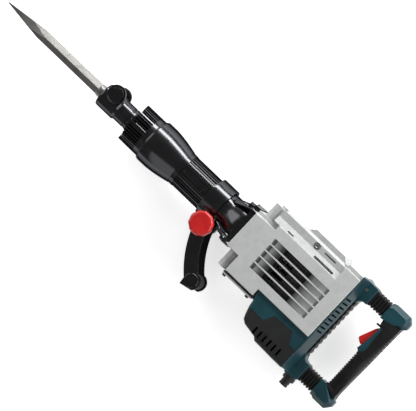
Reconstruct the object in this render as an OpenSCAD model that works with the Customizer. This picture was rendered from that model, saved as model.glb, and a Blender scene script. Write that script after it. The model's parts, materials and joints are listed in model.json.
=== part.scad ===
// Electric demolition hammer lying on its right side. The tool axis is X: the chisel points to -X,
// the D handle is at +X, the gear cover is at +Y, the motor at -Y, and the tool's left side is up.
// The origin is on the tool axis at the front face of the nose.

/* [Chisel] */
// Length of the point and shank in front of the nose
bit_reach = 256; // [200:1:320]
// Hexagonal shank, across flats
hex_af = 22; // [20:0.5:23]
// Depth of the shank inside the nose
shank_depth = 100; // [95:1:104]
// Free forward travel of the chisel in its retainer
bit_travel = 18; // [8:1:19]

/* [Front end] */
// Radius of the nose
nose_r = 25; // [23:0.5:27]
// Rear end of the ribbed flange of the tool holder
holder_end = 128; // [126:1:132]
// Largest radius of the bulged barrel head
bulge_r = 46.3; // [44:0.1:48]
// Rear end of the bulged barrel head
bulge_end = 207; // [205:1:210]
// Radius of the barrel over its fins
barrel_r = 36.1; // [35.5:0.1:37]
// Rear end of the barrel
barrel_end = 320; // [318:1:324]
// Radius of the side handle's clamp collar
collar_r = 41.4; // [40:0.1:43]

/* [Housing] */
// Front face of the crankcase
case_x0 = 380; // [378:1:384]
// Rear face of the crankcase
case_x1 = 609; // [605:1:612]
// Half width of the tool over its two side covers
side_z = 62; // [60:1:66]
// Half width of the crankcase casting between the side covers
case_z = 50; // [48:1:52]
// Number of louvre channels in a side cover
louvres = 5; // [3:1:5]
// Distance from one louvre channel to the next
louvre_pitch = 14.9; // [14:0.1:15]

/* [Drive] */
// Position of the crankshaft along the tool
crank_x = 461; // [461:1:461]
// Crank throw
throw = 13; // [10:1:13]
// Teeth of the crank gear
crank_teeth = 39; // [39:1:39]
// Teeth of the pinion on the intermediate shaft
mid_pinion_teeth = 11; // [11:1:11]
// Module of the crank gear pair
module_slow = 2; // [2:1:2]
// Teeth of the large gear on the intermediate shaft
mid_teeth = 39; // [39:1:39]
// Teeth cut on the armature shaft
armature_teeth = 8; // [8:1:8]
// Module of the armature gear pair
module_fast = 1.5; // [1.5:0.5:1.5]

/* [Handles] */
// Half thickness of the D handle
grip_z = 20; // [18:1:22]
// Rear face of the D handle
handle_x1 = 729; // [725:1:732]
// Distance between the two arms of the side handle
arm_gap = 58; // [56:1:60]
// Radius of the side handle's clamping knob
knob_r = 24.8; // [22:0.1:25]

/* [Hidden] */
$fn = 64;

retainer_x = 25;
retainer_y = 17.5;
retainer_r = 7.5;
disc_r = 18.5;
flange_r = 42.7;
rib_step = 8.2;
holder_bolt_r = 33.3;
bolt_angles = [0, 90, 180, 270];
bore_r = 28.5;
liner_r = 32;
mid_x = crank_x + module_slow * (crank_teeth + mid_pinion_teeth) / 2;
motor_x = mid_x + module_fast * (mid_teeth + armature_teeth) / 2;
rod_length = 88;
pin_x = crank_x + throw;
small_end_x = pin_x - rod_length;
ram_grooves = [214, 232];
piston_grooves = [321, 328];
stud_x = [222, 274];
pivot_x = 315;
pivot_y = -46;
cover_screws = [[391, -31], [391, 30], [600, -50], [420, -68], [470, -68]];
arm_screw = [624, 76, 15.6];
motor_screws = [[491, -72, 58.1], [600, -70, 58.1], [600, -105, 57.7]];
neck_bolt_places = [[-37, -37], [-37, 37], [43, -37], [43, 37]];
window_x0 = 467;
window_x1 = 533;
pillar_r = 10.5;
pillar_z = 38;
gear_x0 = 413;
gear_x1 = 573;
grease_x = 504.6;
grease_y = 73.6;
foot_x0 = 409;
foot_x1 = 480;
foot_y = -78;
motor_z = 58;
brush_y0 = -124;
brush_y1 = -117;
vents = 6;
vent_pitch = 12;
damper_y = [73, -118];
gland_x = 628;
grip_y0 = -108;
grip_y1 = 61;
handle_screw_places = [[704, 84], [704, -126]];
bezel_x0 = 686.5;
bezel_x1 = 694.8;
trigger_x = 690;
trigger_y = 38;
trigger_z = 7.9;
arm_curve_r = 200;
arm_curve_x = 504;
arm_curve_y = 13.4;
arm_start = 20;
arm_sweep = 29;
arm_w = 27;
boss_r = 18;
arm_t = 8;
arm_end_x = arm_curve_x - arm_curve_r * cos(arm_start + arm_sweep);
arm_end_y = arm_curve_y - arm_curve_r * sin(arm_start + arm_sweep);

// ---- helpers -------------------------------------------------------------------------------
// Cylinder along X from x0 to x1
module along_x(r, x0, x1) {
    translate([x0, 0, 0]) rotate([0, 90, 0]) cylinder(r = r, h = x1 - x0);
}
// Tube along X
module tube_x(ro, ri, x0, x1) {
    difference() {
        along_x(ro, x0, x1);
        along_x(ri, x0 - 1, x1 + 1);
    }
}
// Cylinder along Y from y0 to y1 at a place in X
module along_y(x, r, y0, y1) {
    translate([x, y0, 0]) rotate([-90, 0, 0]) cylinder(r = r, h = y1 - y0);
}
// Ring along Y
module tube_y(x, ro, ri, y0, y1) {
    difference() {
        along_y(x, ro, y0, y1);
        along_y(x, ri, y0 - 1, y1 + 1);
    }
}
// Box from its lowest corner to its highest corner
module block(a, b) {
    translate(a) cube([b[0] - a[0], b[1] - a[1], b[2] - a[2]]);
}
// Hexagonal bar along X with flats facing +Y and -Y
module hex_x(af, x0, x1) {
    translate([x0, 0, 0]) rotate([0, 90, 0]) cylinder(r = af / sqrt(3), h = x1 - x0, $fn = 6);
}
// Socket head screw along X: the head's front face at x, the shank behind it
module socket_screw_x(x, head_r, head_h, shank_r, shank_l) {
    difference() {
        union() {
            along_x(head_r, x, x + head_h);
            along_x(shank_r, x + head_h - 1, x + head_h + shank_l);
        }
        hex_x(head_r, x - 1, x + head_h * 0.6);
    }
}
// Involute of a circle of radius rb at roll angle t, in degrees
function involute(rb, t) = [rb * (cos(t) + t * PI / 180 * sin(t)), rb * (sin(t) - t * PI / 180 * cos(t))];
function turned(p, a) = [p[0] * cos(a) - p[1] * sin(a), p[0] * sin(a) + p[1] * cos(a)];
function roll_to(rb, r) = sqrt(r * r / (rb * rb) - 1) * 180 / PI;
// Outline of a spur gear: m module, z teeth, add and ded in modules, slack is the backlash angle
function gear_points(m, z, add, ded, slack) = let (
    rp = m * z / 2,
    rb = rp * cos(20),
    ra = rp + add * m,
    rf = rp - ded * m,
    steps = 4,
    pitch_roll = roll_to(rb, rp),
    pitch_turn = atan2(involute(rb, pitch_roll)[1], involute(rb, pitch_roll)[0]),
    half = 90 / z - slack + pitch_turn,
    from = rf > rb ? roll_to(rb, rf) : 0,
    to = roll_to(rb, ra)
) [for (i = [0:z - 1]) let (a = 360 * i / z) each concat(
    [turned([rf, 0], a - half)],
    [for (k = [0:steps]) turned(turned(involute(rb, from + (to - from) * k / steps), -half), a)],
    [for (k = [steps:-1:0]) let (p = involute(rb, from + (to - from) * k / steps))
        turned(turned([p[0], -p[1]], half), a)],
    [turned([rf, 0], a + half)]
)];
// Spur gear along Y at a place in X, turned by phase
module gear_y(x, m, z, y0, y1, add, ded, slack, phase) {
    translate([x, y1, 0]) rotate([90, 0, 0]) rotate(phase)
        linear_extrude(height = y1 - y0) polygon(gear_points(m, z, add, ded, slack));
}

// ---- chisel and front end ------------------------------------------------------------------
module chisel() {
    color("silver") difference() {
        union() {
            hex_x(hex_af, -163, shank_depth);
            along_x(13, -12.3, -0.3);
            // Four sided point
            hull() {
                hex_x(hex_af, -163.5, -163);
                translate([-bit_reach + 0.5, 0, 0]) rotate([0, 90, 0]) rotate(45)
                    cylinder(r = 1.2, h = 1, center = true, $fn = 4);
            }
        }
        // Retaining notch
        block([retainer_x - retainer_r - 1.5, hex_af / 2 - 3.6, -20],
            [retainer_x + retainer_r + 2 + bit_travel, 20, 20]);
    }
}
module tool_holder() {
    color("#17181a") difference() {
        union() {
            // Nose with a rounded front edge
            rotate([0, 90, 0]) rotate_extrude() polygon(concat(
                [[0, 0], [nose_r - 4, 0]],
                [for (a = [15:15:90]) [nose_r - 4 + 4 * sin(a), 4 - 4 * cos(a)]],
                [[nose_r, 42], [nose_r - 2.6, 45.5], [nose_r - 2.6, 68], [nose_r - 3.6, 69],
                 [nose_r - 3.6, 71], [nose_r - 2.6, 72], [nose_r - 2.6, 84], [0, 84]]));
            along_x(29.5, 82, holder_end);
            along_x(flange_r - 0.5, 118, holder_end);
            // Bosses round the four holder bolts
            for (a = bolt_angles) rotate([a, 0, 0]) {
                translate([0, holder_bolt_r, 0]) along_x(8.2, 92, holder_end);
                block([92, 15, -8.2], [holder_end, holder_bolt_r, 8.2]);
            }
            // Ribs between the bolts
            for (a = bolt_angles) for (k = [-5:5]) rotate([a + 45 + k * rib_step, 0, 0])
                block([84 - abs(k), 22, -1.1], [holder_end, flange_r - 0.6, 1.1]);
            // Boss of the retainer's cross bore
            block([retainer_x - 11, 5, -23.5], [retainer_x + 11, 26, 23.5]);
        }
        hex_x(hex_af + 0.5, -1, 106);
        along_x(18, 105.9, holder_end + 1);
        translate([retainer_x, retainer_y, -30]) cylinder(r = retainer_r + 0.05, h = 60);
        for (a = bolt_angles) rotate([a, 0, 0]) translate([0, holder_bolt_r, 0]) {
            along_x(5.3, 80, holder_end + 1);
            along_x(7.9, 76, 92.6);
        }
    }
}
module holder_bolts() {
    color("#33363a") for (a = bolt_angles) rotate([a, 0, 0]) translate([0, holder_bolt_r, 0])
        socket_screw_x(79, 7.6, 13.4, 5, 52);
}
module bit_retainer() {
    color("#55585c") translate([retainer_x, retainer_y, 0]) difference() {
        translate([0, 0, -25.1]) cylinder(r = retainer_r, h = 50.2);
        block([-10, retainer_r / 2, -15], [10, 10, 15]);
    }
}
module retainer_discs() {
    color("#202224") for (s = [0, 1]) mirror([0, 0, s]) translate([retainer_x, retainer_y, 0])
        difference() {
            union() {
                translate([0, 0, 25.2]) cylinder(r = disc_r, h = 6.3);
                // Thumb bar across the disc
                block([3 - disc_r, -5, 31.4], [disc_r - 3, 5, 34.5]);
            }
            for (r = [disc_r - 2.5, disc_r - 7]) translate([0, 0, 30.5]) difference() {
                cylinder(r = r, h = 2);
                cylinder(r = r - 1.6, h = 3, center = true);
            }
        }
}
module beat_piece() {
    color("#8d9196") union() {
        along_x(13, 112, 186);
        along_x(15.5, 136, 150);
    }
}
module beat_sleeve() {
    color("#7a7d80") difference() {
        union() {
            along_x(17.9, 108, 150);
            along_x(31.8, 150.1, 166);
        }
        along_x(13.05, 100, 170);
        along_x(15.6, 131, 158);
    }
}
module damper_ring() {
    color("#1c1c1c") tube_x(28, 18.4, 129, 149.8);
}
module barrel_head() {
    color("#17181a") difference() {
        rotate([0, 90, 0]) rotate_extrude() polygon([
            [32.2, holder_end + 0.1], [bulge_r - 2.5, holder_end + 0.1], [bulge_r - 0.6, 131],
            [bulge_r, 134], [bulge_r, 150], [bulge_r - 0.6, 162], [bulge_r - 2.2, 175],
            [bulge_r - 4.6, 187], [bulge_r - 7.6, 199], [barrel_r + 0.9, bulge_end], [32.2, bulge_end]]);
        // Threaded holes of the holder bolts
        for (a = bolt_angles) rotate([a, 0, 0])
            translate([0, holder_bolt_r, 0]) along_x(5.1, holder_end - 1, 146);
    }
}
module cylinder_liner() {
    color("#9a9da0") tube_x(liner_r, bore_r, 166.2, 378);
}
module ram() {
    color("#8d9196") difference() {
        union() {
            along_x(bore_r - 0.05, 206, 246);
            along_x(13, 196, 207);
        }
        for (x = ram_grooves) tube_x(bore_r + 1, bore_r - 2, x, x + 3);
    }
}
module ram_rings() {
    color("#1c1c1c") for (x = ram_grooves) tube_x(bore_r - 0.06, bore_r - 2, x + 0.05, x + 2.95);
}
module piston() {
    color("#a5a8ab") difference() {
        along_x(bore_r - 0.05, 318, 398);
        along_x(24.6, 336, 399);
        for (x = piston_grooves) tube_x(bore_r + 1, bore_r - 2, x, x + 3);
    }
    // Two halves of the wrist pin, either side of the rod's eye
    color("#a5a8ab") for (s = [0, 1]) mirror([0, s, 0]) difference() {
        along_y(small_end_x, 6, 9.6, 25.5);
        tube_x(40, bore_r - 0.1, 360, 400);
    }
}
module piston_rings() {
    color("#1c1c1c") for (x = piston_grooves) tube_x(bore_r - 0.06, bore_r - 2, x + 0.05, x + 2.95);
}
module barrel() {
    color("#17181a") difference() {
        union() {
            along_x(liner_r + 1.7, bulge_end + 0.1, 284);
            // Lengthwise fins
            for (a = [0:10:350]) rotate([a, 0, 0])
                block([bulge_end + 3, 31, -1.3], [282.5, barrel_r - 0.3, 1.3]);
            along_x(barrel_r, 282, barrel_end);
            tube_x(barrel_r + 0.5, 33, bulge_end + 0.1, 216);
        }
        along_x(liner_r + 0.05, 200, 330);
        for (a = [0, 180]) rotate([a, 0, 0]) for (x = stud_x)
            translate([x, 0, 33.5]) cylinder(r = 3.3, h = 6);
    }
}
module barrel_studs() {
    color("#46494d") for (a = [0, 180]) rotate([a, 0, 0]) for (x = stud_x)
        translate([x, 0, 33.6]) cylinder(r = 3.2, h = 4);
}
module neck_casting() {
    color("#17181a") difference() {
        union() {
            along_x(35.9, barrel_end + 0.1, 379.9);
            intersection() {
                // Flared base with four webs
                union() {
                    rotate([0, 90, 0]) rotate_extrude() polygon([
                        [30, 334], [35.9, 334], [44, 356], [46, 366], [46, 379.9], [30, 379.9]]);
                    for (a = [45, 135, 225, 315]) rotate([a, 0, 0])
                        hull() {
                            block([326, 30, -4], [330, 35.8, 4]);
                            block([366, 30, -7], [379.9, 62, 7]);
                        }
                    block([366, -44, -44], [379.9, 50, 44]);
                }
                block([300, -44.5, -49], [379.9, 50, 49]);
            }
        }
        along_x(liner_r + 0.05, 300, 390);
        for (p = neck_bolt_places) translate([0, p[0], p[1]]) {
            along_x(4.2, 340, 390);
            along_x(7.4, 340, 366);
        }
    }
}
module neck_bolts() {
    color("#33363a") for (p = neck_bolt_places) translate([0, p[0], p[1]])
        socket_screw_x(356, 6.5, 9.9, 4, 30);
}

// ---- crank drive ---------------------------------------------------------------------------
module connecting_rod() {
    color("#8d9196") difference() {
        union() {
            along_y(small_end_x, 9, -8, 8);
            along_y(pin_x, 14, -8.5, 8.5);
            block([small_end_x, -6, -6], [pin_x, 6, 6]);
        }
        along_y(small_end_x, 6.5, -10, 10);
        along_y(pin_x, 8.05, -10, 10);
    }
}
module crankshaft() {
    color("#7f8387") union() {
        along_y(pin_x, 8, -10, 11);
        along_y(crank_x, 25, 10, 14);
        along_y(crank_x, 12, 13.9, 65.5);
    }
}
module crank_gear() {
    color("#7a746a") difference() {
        gear_y(crank_x, module_slow, crank_teeth, 50, 64, 0.68, 1.15, 0.25, 0);
        along_y(crank_x, 12, 40, 80);
        for (a = [0:60:300]) translate([crank_x, 0, 0]) rotate([0, a, 0]) translate([-crank_x, 0, 0])
            along_y(crank_x + 24, 6, 40, 80);
    }
}
module intermediate_shaft() {
    color("#7f8387") union() {
        along_y(mid_x, 6, 24, 82);
        gear_y(mid_x, module_slow, mid_pinion_teeth, 49, 65, 0.7, 1.15, 0.9, 0);
    }
}
module intermediate_gear() {
    color("#7a746a") difference() {
        gear_y(mid_x, module_fast, mid_teeth, 68, 78, 0.42, 1.15, 0.25, 0);
        along_y(mid_x, 6, 40, 90);
    }
}
module armature() {
    color("#8a5a3c") union() {
        along_y(motor_x, 24, -112, -64);
        along_y(motor_x, 4.2, -133, 68.1);
        along_y(motor_x, 5, -133, 44);
        along_y(motor_x, 17, -114, -62);
        gear_y(motor_x, module_fast, armature_teeth, 67, 78.5, 0.7, 1.05, 1.3, 180 / armature_teeth);
    }
}
module commutator() {
    color("#b87333") difference() {
        tube_y(motor_x, 13, 5, -126, -115);
        for (a = [0:15:345]) translate([motor_x, 0, 0]) rotate([0, a, 0]) translate([-motor_x, 0, 0])
            block([motor_x + 12, -127, -0.3], [motor_x + 14, -114, 0.3]);
    }
}
// Ball bearings of the crankshaft, the intermediate shaft and the armature
module shaft_bearings() {
    color("#b9bcbf") {
        for (y = [15, 34]) tube_y(crank_x, 21, 12.05, y, y + 12);
        tube_y(mid_x, 12, 6.05, 24, 34);
        tube_y(mid_x, 10, 6.05, 79, 83.9);
        tube_y(motor_x, 13, 5.05, 30, 42);
        tube_y(motor_x, 9, 5.05, -133.4, -127.5);
    }
}
module cooling_fan() {
    color("#2a2a2a") difference() {
        union() {
            tube_y(motor_x, 11, 5, -46, -24);
            along_y(motor_x, 31, -28, -25);
            for (a = [0:30:330]) translate([motor_x, 0, 0]) rotate([0, a, 0])
                block([10, -46, -1], [31, -27, 1]);
        }
        along_y(motor_x, 5, -60, 0);
    }
}
module stator() {
    color("#5c6066") difference() {
        along_y(motor_x, 44, -112, -64);
        along_y(motor_x, 24.8, -120, -60);
        for (s = [-1, 1]) block([motor_x + s * 35 - 3, -120, -14], [motor_x + s * 35 + 3, -60, 14]);
    }
}
module carbon_brushes() {
    color("#2b2b2b") translate([motor_x, 0, 0]) for (s = [0, 1]) mirror([s, 0, 0])
        block([13.3, brush_y0, -4], [33, brush_y1, 4]);
}
// Boxes that guide the brushes, standing on the floor of the end cover
module brush_holders() {
    color("#b08d4a") translate([motor_x, 0, 0]) for (s = [0, 1]) mirror([s, 0, 0]) difference() {
        block([16, brush_y0 - 2.9, -6], [36, brush_y1 + 2, 6]);
        block([10, brush_y0 - 0.1, -4.1], [33.1, brush_y1 + 0.1, 4.1]);
    }
}

// ---- crankcase and covers ------------------------------------------------------------------
module crankcase() {
    color("#b9bcbc") difference() {
        union() {
            block([case_x0, -42, -case_z], [case_x1, 48, case_z]);
            block([foot_x0 + 1, foot_y, -case_z], [foot_x1, -40, case_z]);
            block([470, -60, -case_z], [case_x1, -40, case_z]);
            // Corner pillars for the long screws
            for (z = [-pillar_z, pillar_z]) {
                translate([402, 46, z]) rotate([-90, 0, 0]) cylinder(r = pillar_r, h = 34);
                translate([398, foot_y, z]) rotate([-90, 0, 0]) cylinder(r = pillar_r, h = 40);
            }
            block([393, foot_y + 2, -pillar_z], [411, -40, pillar_z]);
            // Rear head behind the gear cover
            block([gear_x1 + 0.1, 46, -case_z], [case_x1, 90, case_z]);
        }
        // Crank chamber, with the rod and piston opening in front
        block([388, -36, -42], [498, 14.6, 42]);
        along_x(liner_r + 0.2, 370, 400);
        // Fan chamber
        along_y(motor_x, 38, -61, 14);
        // Bearing seats and gear chamber openings
        along_y(crank_x, 21.02, 10, 60);
        along_y(crank_x, 40, 46.1, 60);
        along_y(mid_x, 12.02, 23.9, 60);
        along_y(mid_x, 8, 20, 60);
        along_y(motor_x, 13.02, 29.9, 60);
        along_y(motor_x, 8, 10, 60);
        // Lower hollow
        block([416, -80, -42], [474, -42, 42]);
        // Air windows behind the louvres
        for (s = [0, 1]) mirror([0, 0, s]) block([window_x0, -44, 37], [window_x1, 32, 52]);
        for (p = neck_bolt_places) translate([0, p[0], p[1]]) along_x(4.05, 370, 397);
        // Hollow of the rear head
        block([gear_x1 + 8, 54, -case_z + 8], [case_x1 + 1, 82, case_z - 8]);
    }
}
// One louvred side cover, on the tool's left side, with or without screw holes
module side_cover(screwed) {
    difference() {
        union() {
            block([case_x0, -40.5, case_z + 0.1], [case_x1, 42, side_z]);
            block([foot_x0 + 1, foot_y + 2, case_z + 0.1], [foot_x1, -40, side_z]);
            block([470, -60, case_z + 0.1], [case_x1, -40, side_z]);
            block([428, 40, case_z + 0.1], [case_x1, 53, side_z]);
            block([gear_x1 + 0.1, 50, case_z + 0.1], [case_x1, 82.5, side_z]);
        }
        // Chamfer along the upper front edge
        translate([case_x0 - 1, 42, side_z]) rotate([45, 0, 0]) cube([44, 9, 9]);
        // Louvre channels: a step and a ramp at each end, open in the middle
        for (i = [0:louvres - 1]) translate([0, -41.5 + i * louvre_pitch, 0]) rotate([90, 0, 0])
            translate([0, 0, -12.2]) linear_extrude(height = 12.2) polygon([
                [438.8, side_z + 1], [438.8, 57], [448, 55.5], [window_x0 - 4, case_z],
                [window_x0, case_z - 1], [window_x1, case_z - 1], [window_x1 + 1, case_z],
                [546, 54], [564, 56.5], [580.4, 58], [580.4, side_z + 1]]);
        if (screwed) for (p = cover_screws) translate([p[0], p[1], side_z - 7]) cylinder(r = 4.3, h = 10);
    }
}
module side_cover_left() { color("#c3c5c5") side_cover(false); }
module side_cover_right() { color("#c3c5c5") mirror([0, 0, 1]) side_cover(true); }
// Short hexagon socket screw with its head up
module cap_screw(r, h) {
    difference() {
        cylinder(r = r, h = h);
        translate([0, 0, h - 1.2]) cylinder(r = r * 0.55, h = 2, $fn = 6);
    }
}
// The screws of the covers and of the motor go in from the right side
module housing_screws() {
    color("#8b8e92") {
        mirror([0, 0, 1]) {
            for (p = cover_screws) translate([p[0], p[1], side_z - 6.9]) cap_screw(4, 5.4);
            for (p = motor_screws) translate(p) cap_screw(3.6, 2.2);
        }
        for (s = [0, 1]) mirror([0, 0, s]) translate(arm_screw) cap_screw(3.6, 2.2);
    }
}
module louvre_baffles() {
    color("#1b1c1d") for (s = [0, 1]) mirror([0, 0, s]) difference() {
        block([window_x0 + 0.1, -43.9, 39], [window_x1 - 0.1, 31.9, 43]);
        for (i = [0:louvres - 1])
            block([window_x0 + 6, -38 + i * louvre_pitch, 38], [window_x1 - 6, -33 + i * louvre_pitch, 44]);
    }
}
module gear_cover() {
    color("#bfc1bf") difference() {
        union() {
            translate([gear_x0, 0, 0]) difference() {
                rotate([90, 0, 90]) linear_extrude(height = gear_x1 - gear_x0) polygon([
                    [48.1, -49.8], [53.2, -49.8], [53.2, -58], [66, -52], [80, -52], [85, -47], [85, 47],
                    [80, 52], [66, 52], [53.2, 58], [53.2, 49.8], [48.1, 49.8]]);
                // Chamfered front and rear corners
                translate([0, 76, -60]) rotate([0, 0, 45]) block([-20, 0, 0], [20, 30, 120]);
                translate([gear_x1 - gear_x0, 76, -60]) rotate([0, 0, -45])
                    block([-20, 0, 0], [20, 30, 120]);
            }
            // Raised plate over the gears
            translate([0, 0, -47]) linear_extrude(height = 94) polygon([
                [470, 84], [482, 95], [556, 95], [567, 84]]);
        }
        // Gear chamber
        block([gear_x0 + 4, 47, -44], [gear_x1 - 4, 66, 44]);
        block([476, 60, -40], [gear_x1 - 10, 79, 40]);
        along_y(mid_x, 10.02, 70, 84);
        // Grease plug seat and two long pockets in the left face
        translate([grease_x, grease_y, 49.5]) cylinder(r = 7.2, h = 6);
        block([524, 72.2, 42], [552, 75.4, 56]);
        block([514, 53.6, 45.5], [562, 58.4, 62]);
        block([446, 54.4, 51], [460, 57.4, 62]);
        // Clearance for the front pillars
        for (z = [-pillar_z, pillar_z])
            translate([402, 40, z]) rotate([-90, 0, 0]) cylinder(r = pillar_r + 0.5, h = 60);
    }
}
module grease_cap() {
    color("#4a4d50") difference() {
        translate([grease_x, grease_y, 49.6]) cylinder(r = 6.8, h = 3.2);
        translate([grease_x, grease_y, 51.2]) cylinder(r = 3.2, h = 3, $fn = 6);
    }
}
module lower_gasket() {
    color("#161616") difference() {
        block([foot_x0 - 1, foot_y - 2, -48], [foot_x1 + 1, foot_y - 0.1, 60]);
        block([416, foot_y - 4, -42], [474, foot_y + 2, 42]);
    }
}
module lower_cover() {
    color("#aeb1b1") block([foot_x0, foot_y - 6, -47], [foot_x1, foot_y - 2.1, 59]);
}
module lower_cover_bolts() {
    color("#161616") for (x = [413, 472]) for (z = [-40, 50])
        translate([x, foot_y - 10, z]) rotate([-90, 0, 0]) cylinder(r = 3.8, h = 3.9);
}

// ---- motor and rear ------------------------------------------------------------------------
module motor_outline() {
    polygon([[481, -60.1], [481, -78], [486, -82], [488, -95], [493.5, -112], [497, -119.5], [505, -125],
        [534, -130], [540, -135.5], [586, -137], [608.9, -136], [608.9, -60.1]]);
}
module black_outline() {
    polygon([[470, -95.2], [526.6, -95.4], [537, -75], [582, -73], [593.7, -95], [620, -96], [620, -150],
        [470, -150]]);
}
module motor_hollow() {
    along_y(motor_x, 44.1, -112.1, -55);
    along_y(motor_x, 40, -127, -110);
    along_y(motor_x, 9.02, -134, -120);
}
module motor_housing() {
    color("#0f3b42") difference() {
        translate([0, 0, -motor_z]) linear_extrude(height = 2 * motor_z) difference() {
            motor_outline();
            black_outline();
        }
        motor_hollow();
    }
}
module motor_end_cover() {
    color("#141516") difference() {
        translate([0, 0, 0.4 - motor_z]) linear_extrude(height = 2 * motor_z - 0.8) intersection() {
            motor_outline();
            translate([0, -0.1]) black_outline();
        }
        motor_hollow();
        // Air slots through both side walls
        for (i = [0:vents - 1]) for (s = [0, 1]) mirror([0, 0, s])
            translate([528 + i * vent_pitch, 0, 0]) block([-2.1, -127.8, 36], [2.1, -111.8, 62]);
    }
}
module rear_cover() {
    color("#0f3b42") difference() {
        union() {
            // Column with bevelled sides
            translate([0, -136, 0]) rotate([-90, 0, 0]) linear_extrude(height = 229) polygon([
                [609.1, -56], [612, -56], [622, -24], [622, 24], [612, 56], [609.1, 56]]);
            // Upper and lower arms of the D handle
            block([609.1, 55, -grip_z], [642, 92, grip_z]);
            block([609.1, -137, -grip_z], [644, -99, grip_z]);
            // Gland foot
            block([612, -141, -14], [640, -130, 14]);
        }
        // Pockets and guide bores of the damper pins
        for (y = damper_y) translate([0, y, 0]) {
            along_x(12, 618, 645);
            along_x(5.05, 609, 646);
        }
        // Seats of the two arm screws
        for (s = [0, 1]) mirror([0, 0, s])
            translate([arm_screw[0], arm_screw[1], arm_screw[2] - 0.1]) cylinder(r = 4.2, h = 25);
        // Air slots
        for (y = [-42:10:38]) for (s = [0, 1]) mirror([0, 0, s]) block([611, y, 30], [640, y + 4, 62]);
        translate([gland_x, -150, 0]) rotate([-90, 0, 0]) cylinder(r = 9.05, h = 22);
    }
}
module rear_pad() {
    color("#161616") difference() {
        block([622.1, -96, -16], [626, 52, 16]);
        for (y = [-88:12:40]) block([624.5, y, -17], [627, y + 5, 17]);
    }
}
module cable_gland() {
    color("#151515") translate([gland_x, 0, 0]) rotate([90, 0, 0]) rotate_extrude() polygon([
        [4.5, 129], [9, 129], [9, 141.1], [13, 141.1], [13, 149], [9.4, 150], [9.4, 154], [8.6, 154.6],
        [8.6, 157], [9.2, 157.6], [9.2, 163], [4.5, 163]]);
}
module handle_bellows() {
    color("#141414") for (c = [[73.5, 17, 642.2, 676.8], [-118, 17, 644.2, 676.8]]) difference() {
        union() for (k = [0:3]) {
            step = (c[3] - c[2]) / 4;
            translate([c[2] + k * step, c[0], 0]) {
                block([0, -c[1], -17], [step * 0.5, c[1], 17]);
                block([step * 0.5, -c[1] + 2.5, -14.5], [step, c[1] - 2.5, 14.5]);
            }
        }
        translate([0, c[0], 0]) along_x(12.5, 600, 700);
    }
}
module damper_pins() {
    color("#9a9da0") for (y = damper_y) translate([0, y, 0]) union() {
        along_x(5, 616, 690);
        along_x(8, 683, 690);
    }
}
module damper_springs() {
    color("#70757a") for (y = damper_y) translate([0, y, 0]) for (k = [0:6])
        tube_x(9, 6, 622 + k * 7.4, 624.5 + k * 7.4);
}
// Core of the grip, under the rubber: play is the gap all round
module grip_core(play) {
    translate([0, 0, -11 - play]) linear_extrude(height = 22 + 2 * play)
        polygon([[695 - play, 70], [713 + play, 70], [711 + play, -115], [697 - play, -115]]);
}
// Outline of the D handle's blocks and grip, seen along Z
module handle_outline() {
    polygon([[677, 55.5], [677, 92], [683, 95], [719, 95], [handle_x1, 85], [handle_x1, 70], [721.5, 63],
        [720, -30], [717.5, -107], [724.5, -112], [724.5, -128], [714.5, -141], [687, -141], [683, -138],
        [677, -138], [677, -101], [685, -101], [690, -94], [689, -20], [686, 44], [681, 55]]);
}
module handle_shell() {
    color("#0f3b42") difference() {
        translate([0, 0, -grip_z]) linear_extrude(height = grip_z * 2) handle_outline();
        // Recess under the rubber sleeve
        difference() {
            block([670, grip_y0 - 0.1, -30], [740, grip_y1 + 0.1, 30]);
            grip_core(0);
        }
        // Pocket for the switch
        block([694.9, -14, -8], [708, 46, 8]);
        for (y = damper_y) translate([0, y, 0]) {
            along_x(5.02, 670, 684);
            along_x(8.02, 682.9, 690.1);
        }
        for (p = handle_screw_places) translate([p[0], p[1], -grip_z - 1.5]) cylinder(r = 3.6, h = 4);
    }
}
module grip_rubber() {
    color("#161616") difference() {
        translate([0, 0, -grip_z]) linear_extrude(height = grip_z * 2) intersection() {
            handle_outline();
            translate([670, grip_y0]) square([80, grip_y1 - grip_y0]);
        }
        grip_core(0.1);
        // Trigger opening
        block([670, -18, -12.2], [697, 47, 12.2]);
        // Finger ribs on the front and palm ribs behind
        for (y = [-96:5.6:-24]) block([680, y, -21], [691.6, y + 2.2, 21]);
        for (y = [-96:8:48]) block([718.5, y, -14], [730, y + 2.5, 14]);
    }
}
module handle_screws() {
    color("#7c7f83") mirror([0, 0, 1]) for (p = handle_screw_places)
        translate([p[0], p[1], grip_z - 2.4]) cap_screw(3.4, 2.2);
}
module trigger_bezel() {
    color("#0f4a52") difference() {
        block([bezel_x0, -17.9, -12], [bezel_x1, 46.9, 12]);
        block([680, -14, -trigger_z - 0.5], [700, 41, trigger_z + 0.5]);
        block([680, 40.9, -4.2], [700, 45, 4.2]);
        // Seats of the trigger's pivot
        translate([trigger_x, trigger_y, -10.5]) cylinder(r = 2.05, h = 21);
    }
}
module switch_body() {
    color("#222222") difference() {
        block([697, -13.9, -trigger_z], [707.9, 45.9, trigger_z]);
        block([696, -12, -5], [699, 30, 5]);
    }
}
module trigger() {
    color("#c4161c") union() {
        translate([0, 0, -trigger_z]) linear_extrude(height = 2 * trigger_z) polygon([
            [688.5, 40.4], [684, 34], [671.5, 3], [671.5, 1], [673.5, -0.8], [682, -6.5], [689, -5],
            [693.2, 36], [692.5, 40.4]]);
        translate([trigger_x, trigger_y, -10.4]) cylinder(r = 2, h = 20.8);
    }
}
module lock_button() {
    color("#141414") union() {
        block([679.5, 41.2, -3.9], [692.8, 44.7, 3.9]);
        block([678.5, 41.1, -4], [682.5, 44.8, 4]);
    }
}

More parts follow.
